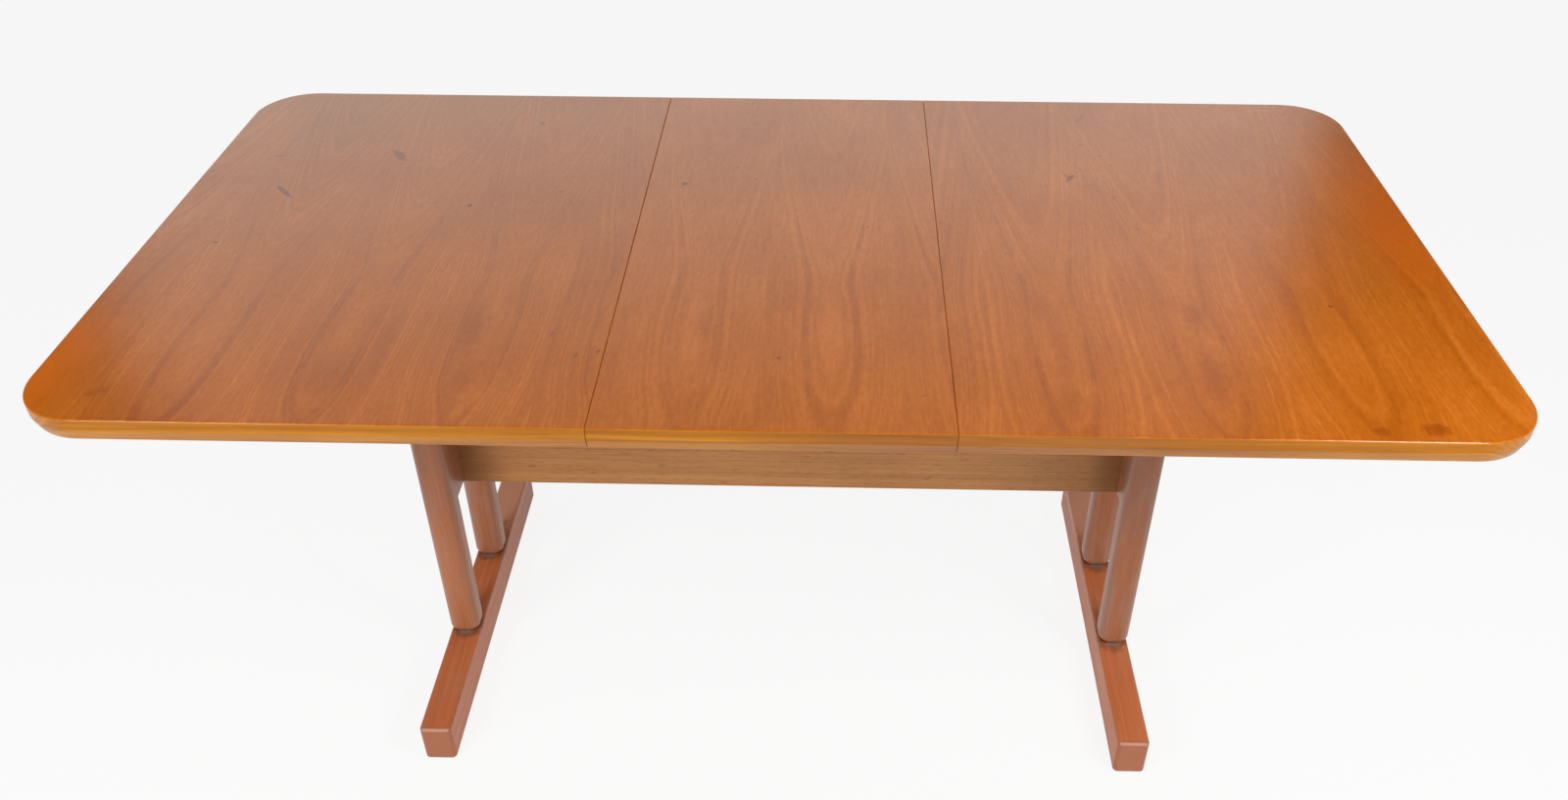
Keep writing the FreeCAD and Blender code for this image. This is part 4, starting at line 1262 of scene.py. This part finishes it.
@dataclass(frozen=True)
class Peg:
    """A fluted beech peg with rounded tips, drawn along X.

    Attributes:
        radius: Its radius.
        length: Its length.
        flutes: How many flutes it has.
        flute_depth: Their depth, as a share of the radius.
        around: Points round the peg.
    """

    radius: float = 0.004
    length: float = 0.032
    flutes: int = 10
    flute_depth: float = 0.05
    around: int = 40

    def skin(self) -> Skin:
        """The peg's surface: a circle with a shallow ripple, drawn in at both tips.

        Returns:
            Its points and faces.
        """
        angle = np.arange(self.around) / self.around * math.tau
        ripple = 1.0 - self.flute_depth * np.maximum(0.0, np.cos(angle * self.flutes))
        along = np.array([0.0, 0.02, 0.06, 0.10, 0.5, 0.90, 0.94, 0.98, 1.0]) * self.length
        share = np.array([0.62, 0.82, 0.96, 1.0, 1.0, 1.0, 0.96, 0.82, 0.62])[:, None]
        radius = self.radius * share * np.where(share < 0.9, 1.0, ripple)
        along = np.broadcast_to(along[:, None], radius.shape)
        rings = np.stack([along, radius * np.cos(angle), radius * np.sin(angle)], axis=-1)
        return ring_surface(rings, (0.0, 0.0, 0.0), (self.length, 0.0, 0.0))


def placed(skin: Skin, places: Sequence[Triple], mirror: bool = False) -> list[Skin]:
    """A copy of a skin at each place.

    Args:
        skin: The skin of one copy.
        places: Where the copies' origins go.
        mirror: Whether each copy is turned half about the upright axis.

    Returns:
        The copies.
    """
    points, faces = skin
    turn = np.array([-1.0, -1.0, 1.0]) if mirror else np.ones(3)
    return [(points * turn + np.array(place), faces) for place in places]


def new_piece(name: str, skins: Sequence[Skin]) -> bpy.types.Object:
    """One object of several skins.

    Args:
        name: The object's name.
        skins: The skins.

    Returns:
        The object, with smooth faces and sharp edges kept.
    """
    faces, count = [], 0
    for points, own in skins:
        faces += [[corner + count for corner in face] for face in own]
        count += len(points)
    mesh = bpy.data.meshes.new(name)
    mesh.from_pydata(np.vstack([points for points, _ in skins]).tolist(), [], faces)
    mesh.shade_smooth()
    mesh.set_sharp_from_angle(angle=math.radians(35.0))
    piece = bpy.data.objects.new(name, mesh)
    bpy.context.scene.collection.objects.link(piece)
    return piece


@dataclass
class Fastenings:
    """Screws, hooks' pivots and keepers, pegs, bolts, nuts and pins.

    Attributes:
        board_under: Underside of the boards.
        runner_under: Underside of the runners.
        batten_under: Underside of the battens.
        rail_under: Underside of the slide rails.
        bearer_under: Underside of the bearers.
        tie_under: Underside of the tie.
        sink: How deep a screw's head is sunk.
        bite: How far a screw goes into the piece that it holds.
        bearer_bite: How far a bearer's screw goes into a slide rail.
        hook_y: Distance of the hooks from the middle, across the table.
        hook_face: Height of the faces of the hooks' screws.
        hook_screws_x: Node, body and X of each kind of hook's screw.
        peg_x: Distance of the pegs' roots from the middle, along the table.
        peg_y: Where the left half's pegs lie, across the table.
        peg_level: Height of the pegs' middles.
        runner_rows: Distance of the runners from the middle, for each half.
        runner_screw_x: Where a runner's screws are, along the table.
        batten_x: Where a batten's screws are, along the table.
        batten_screw_y: Where they are across it.
        rail_y: Distance of the slide rails from the middle.
        tie_step: Half the distance between two screws of the tie.
        bearer_step: Half the distance between two screws of a bearer.
        wood_screw: A wood screw's head radius, head height and shank radius.
        bearer_screw: The same of a bearer's screw.
        hook_screw: The same of a hook's screw.
    """

    board_under: float = 0.713
    runner_under: float = 0.669
    batten_under: float = 0.691
    rail_under: float = 0.6567
    bearer_under: float = 0.6067
    tie_under: float = 0.6387
    sink: float = 0.001
    bite: float = 0.012
    bearer_bite: float = 0.024
    hook_y: float = 0.300
    hook_face: float = 0.7075
    hook_screws_x: tuple[tuple[str, str, float], ...] = (
        ("left_hook_pivots", "left_half", -0.252),
        ("leaf_keepers", "leaf", -0.177),
        ("leaf_hook_pivots", "leaf", 0.152),
        ("right_keepers", "right_half", 0.227),
    )
    peg_x: float = 0.222
    peg_y: tuple[float, ...] = (-0.3354, -0.0602, 0.2150)
    peg_level: float = 0.724
    runner_rows: tuple[float, float] = (0.1753, 0.1247)
    runner_screw_x: tuple[float, ...] = (0.6510, 0.5093, 0.3677, 0.2260)
    batten_x: float = 0.795
    batten_screw_y: tuple[float, ...] = (-0.288, -0.096, 0.096, 0.288)
    rail_y: float = 0.15
    tie_step: float = 0.015
    bearer_step: float = 0.012
    wood_screw: Triple = (0.0045, 0.003, 0.00225)
    bearer_screw: Triple = (0.0065, 0.004, 0.003)
    hook_screw: Triple = (0.005, 0.002, 0.0025)

    def build(self, frame: Mapping[str, Mapping]) -> None:
        """Makes the screws and pegs anew and dresses the rest.

        Args:
            frame: The loaded CAD model.
        """
        steel = STEEL.material("plated_steel")
        beech = BEECH.material("pegs", Grain.LENGTHWISE, (0.0, 0.0, self.peg_level))
        for half, sign, row in zip(("left", "right"), (-1, 1), self.runner_rows):
            self.half_screws(half, sign, row, steel)
            self.pegs(half, sign, beech)
        self.frame_screws(steel)
        self.hook_screws(steel)
        for node in ("stretcher_bolts", "barrel_nuts", "stop_pins"):
            dress(frame, node, steel)
        for owner in ("left", "leaf"):
            for side in ("front", "back"):
                dress(frame, f"{owner}_hook_{side}", steel)
        dress(frame, "foot_glides", PLASTIC.material("glide_plastic"))

    def stand_for(
        self, piece: bpy.types.Object, node: str, body: str, material: bpy.types.Material
    ) -> None:
        """Lets a piece stand for a CAD node, with its material.

        Args:
            piece: The new piece.
            node: The node.
            body: The body that it rides on.
            material: The material.
        """
        piece.data.materials.append(material)
        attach(piece, body)
        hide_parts(node)
        LOG.info("made %s", piece.name)

    def wood_screws(
        self, under: float, into: float, spots: Sequence[tuple[float, float]]
    ) -> list[Skin]:
        """Screws sunk in the underside of one piece that bite into the next.

        Args:
            under: Underside of the piece that they hold.
            into: Underside of the piece that they go into.
            spots: X and Y of each screw.

        Returns:
            The screws' skins.
        """
        low = under + self.sink
        screw = Screw(*self.wood_screw, into + self.bite - low)
        return placed(screw.skin(), [(x, y, low) for x, y in spots])

    def half_screws(self, half: str, sign: int, row: float, steel: bpy.types.Material) -> None:
        """Makes the screws of a half's runners and batten.

        Args:
            half: The half.
            sign: The side of the middle that it is on.
            row: Distance of its runners from the middle, across the table.
            steel: The screws' material.
        """
        spots = [(sign * x, row * side) for side in (-1, 1) for x in self.runner_screw_x]
        skins = self.wood_screws(self.runner_under, self.board_under, spots)
        spots = [(sign * self.batten_x, y) for y in self.batten_screw_y]
        skins += self.wood_screws(self.batten_under, self.board_under, spots)
        piece = new_piece(f"{half}_screws_slotted", skins)
        self.stand_for(piece, f"{half}_screws", f"{half}_half", steel)

    def frame_screws(self, steel: bpy.types.Material) -> None:
        """Makes the screws of the tie and of the two bearers.

        Args:
            steel: The screws' material.
        """
        rails = (-self.rail_y, self.rail_y)
        spots = [(x, y) for x in (-self.tie_step, self.tie_step) for y in rails]
        skins = self.wood_screws(self.tie_under, self.rail_under, spots)
        self.stand_for(new_piece("tie_screws_slotted", skins), "tie_screws", "base", steel)
        low = self.bearer_under + self.sink
        screw = Screw(*self.bearer_screw, self.rail_under + self.bearer_bite - low, pitch=0.0026)
        places = [
            (middle_of(bearer)[0] + step, y, low)
            for bearer in ("bearer_left", "bearer_right")
            for step in (-self.bearer_step, self.bearer_step)
            for y in rails
        ]
        piece = new_piece("bearer_screws_slotted", placed(screw.skin(), places))
        self.stand_for(piece, "bearer_screws", "base", steel)

    def hook_screws(self, steel: bpy.types.Material) -> None:
        """Makes the round-headed pivots and keepers of the hooks.

        Args:
            steel: The screws' material.
        """
        length = self.board_under + self.bite - self.hook_face
        screw = Screw(
            *self.hook_screw,
            length,
            countersunk=False,
            slot_width=0.0014,
            slot_depth=0.0008,
            threaded=0.45,
        )
        for node, body, x in self.hook_screws_x:
            places = [(x, y, self.hook_face) for y in (-self.hook_y, self.hook_y)]
            piece = new_piece(f"{node}_slotted", placed(screw.skin(), places))
            self.stand_for(piece, node, body, steel)

    def pegs(self, half: str, sign: int, beech: bpy.types.Material) -> None:
        """Makes the pegs in a half's seam edge, which point towards the middle.

        Args:
            half: The half.
            sign: The side of the middle that it is on.
            beech: The pegs' material.
        """
        places = [(sign * self.peg_x, -sign * y, self.peg_level) for y in self.peg_y]
        skins = placed(Peg().skin(), places, mirror=sign > 0)
        piece = new_piece(f"{half}_pegs_fluted", skins)
        self.stand_for(piece, f"{half}_pegs", f"{half}_half", beech)


# Studio


@dataclass(frozen=True)
class Softbox:
    """A soft lamp that looks at a point.

    Attributes:
        name: Its name.
        place: Where it hangs.
        target: The point that it looks at.
        side: Length of its sides.
        power: Its power in watts.
    """

    name: str
    place: Triple
    target: Triple
    side: float = 0.5
    power: float = 18.0

    def build(self) -> None:
        """Hangs the lamp."""
        light = bpy.data.lights.new(self.name, "AREA")
        light.shape = "SQUARE"
        light.size = self.side
        light.energy = self.power
        lamp = bpy.data.objects.new(self.name, light)
        lamp.location = self.place
        aim = Vector(self.target) - Vector(self.place)
        lamp.rotation_euler = aim.to_track_quat("-Z", "Y").to_euler()
        lamp.visible_camera = False
        bpy.context.scene.collection.objects.link(lamp)
        LOG.info("hung %s", self.name)


@dataclass
class Studio:
    """A plain pale room: floor, surroundings, softboxes and camera.

    Heights on the room's walls are given as the Z of the direction to them, from nought at the
    floor to one overhead, and bearings in radians from the back, with the right as positive.

    Attributes:
        floor_half: Half the floor's size.
        floor_tone: How light the floor is.
        floor_glow: Share of the floor's own light in what the camera and gloss see.
        far_tone: How light the varnish mirrors the floor in front, where the lamps don't reach.
        far_edges: How far in front of the table's middle that floor begins and is dimmest.
        wall_left: Bearings where the bright wall begins.
        wall_right: Bearings where it ends.
        wall_dims: Heights between which it dims.
        wall_light: Its light.
        wall_tint: Its colour, as gloss mirrors it.
        room_light: Light of the room in front.
        dim_light: Light of the ceiling and the sides.
        even_light: Light that falls on the table from all round.
        focal_pixels: The camera's focal length in pixels of the photograph.
        centre_pixels: Where the lens's axis meets the photograph.
        frame_pixels: The photograph's size.
        eye: Where the camera stands.
        tilt: The camera's turn about X, Y and Z in radians.
        lamps: The softboxes.
    """

    floor_half: float = 30.0
    floor_tone: float = 0.86
    floor_glow: float = 0.88
    far_tone: float = 0.15
    far_edges: tuple[float, float] = (0.85, 1.25)
    wall_left: tuple[float, float] = (-0.60, -0.58)
    wall_right: tuple[float, float] = (0.36, 0.39)
    wall_dims: tuple[float, float] = (0.42, 0.73)
    wall_light: float = 1.45
    wall_tint: Triple = (0.97, 1.07, 1.04)
    room_light: float = 0.8
    dim_light: float = 0.02
    even_light: float = 0.30
    focal_pixels: float = 1341.09
    centre_pixels: tuple[float, float] = (830.33, 395.11)
    frame_pixels: tuple[int, int] = (1600, 816)
    eye: Triple = (0.0685, -1.5383, 1.6126)
    tilt: Triple = (0.93539, -0.00282, 0.02248)
    lamps: tuple[Softbox, ...] = (
        Softbox("softbox_right", (1.25, -1.02, 1.60), (0.5, 0.0, 0.5)),
        Softbox("softbox_left", (-1.30, -1.50, 1.55), (-0.5, 0.0, 0.5)),
    )

    def build(self) -> None:
        """Builds the whole studio."""
        self.lay_floor()
        self.light_room()
        for lamp in self.lamps:
            lamp.build()
        self.set_camera()
        bpy.context.scene.view_settings.view_transform = "Standard"

    def lay_floor(self) -> None:
        """Lays a flat pale floor that stays light to the camera and keeps the table's shadow.

        The wood's varnish mirrors it as pale near the table and dim where its lamps don't reach.
        """
        half = self.floor_half
        mesh = bpy.data.meshes.new("floor")
        square = [(-half, -half, 0.0), (half, -half, 0.0), (half, half, 0.0), (-half, half, 0.0)]
        mesh.from_pydata(square, [], [(0, 1, 2, 3)])
        floor = bpy.data.objects.new("floor", mesh)
        bpy.context.scene.collection.objects.link(floor)
        material, shader = new_material("pale_floor")
        glossy = shader.ray("Is Glossy Ray")
        seen = shader.ray("Is Camera Ray").maths("MAXIMUM", glossy)
        seen = seen.maths("MAXIMUM", shader.ray("Is Transmission Ray")) * self.floor_glow
        far = (-shader.place()[1]).fade(*self.far_edges)
        pale = shader.mix(far * glossy, WHITE, (self.far_tone,) * 3)
        matt = shader.node("ShaderNodeBsdfDiffuse", inputs={"Color": (self.floor_tone,) * 3})
        glow = shader.node("ShaderNodeEmission", inputs={"Color": pale, "Strength": 1.0})
        shader.finish(shader.node("ShaderNodeMixShader", inputs={0: seen, 1: matt, 2: glow}))
        mesh.materials.append(material)

    def light_room(self) -> None:
        """Lights the room evenly from all round, with a pale wall that the varnish mirrors.

        The wall is bright between two upright edges and dims upwards. The ceiling and the sides
        are dim, and the room in front is pale. The camera sees plain white.
        """
        world = bpy.data.worlds.new("room")
        world.use_nodes = True
        bpy.context.scene.world = world
        shader = Shader(world.node_tree)
        x, y, z = shader.place("Generated")
        bearing = x.maths("ARCTAN2", y)
        wall = bearing.fade(*self.wall_left) * (1.0 - bearing.fade(*self.wall_right))
        wall = wall * (1.0 - z.fade(*self.wall_dims)) * self.wall_light
        behind = abs(bearing).fade(1.7, 2.1) * (1.0 - z.fade(0.5, 0.8)) * self.room_light
        mirrored = wall + behind + self.dim_light
        front = (-y).fade(0.3, 1.0) * (1.0 - z.fade(0.3, 0.7)) * self.room_light
        glossy = shader.ray("Is Glossy Ray")
        plain = shader.ray("Is Camera Ray").maths("MAXIMUM", shader.ray("Is Transmission Ray"))
        others = (1.0 - plain) * (1.0 - glossy)
        strength = plain + glossy * mirrored + others * (front + self.even_light)
        tint = shader.mix(glossy, WHITE, self.wall_tint)
        surface = shader.node("ShaderNodeBackground", inputs={"Color": tint, "Strength": strength})
        shader.finish(surface, "ShaderNodeOutputWorld")

    def set_camera(self) -> None:
        """Sets the photograph's camera, from its fitted place, angles and focal length."""
        width, height = self.frame_pixels
        lens = bpy.data.cameras.new("camera")
        lens.lens = self.focal_pixels * lens.sensor_width / width
        lens.shift_x = (width / 2 - self.centre_pixels[0]) / width
        lens.shift_y = (self.centre_pixels[1] - height / 2) / width
        lens.clip_end = 200.0
        camera = bpy.data.objects.new("camera", lens)
        camera.location = self.eye
        camera.rotation_euler = self.tilt
        bpy.context.scene.collection.objects.link(camera)
        bpy.context.scene.camera = camera


def main() -> None:
    """Loads the frame, dresses it piece by piece and sets up the studio."""
    logging.basicConfig(level=logging.INFO, format="%(name)s: %(message)s")
    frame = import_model()
    for part in (TableTop(), Trestles(), SlideFrame(), Fastenings()):
        part.build(frame)
    Studio().build()


if __name__ == "__main__":
    main()
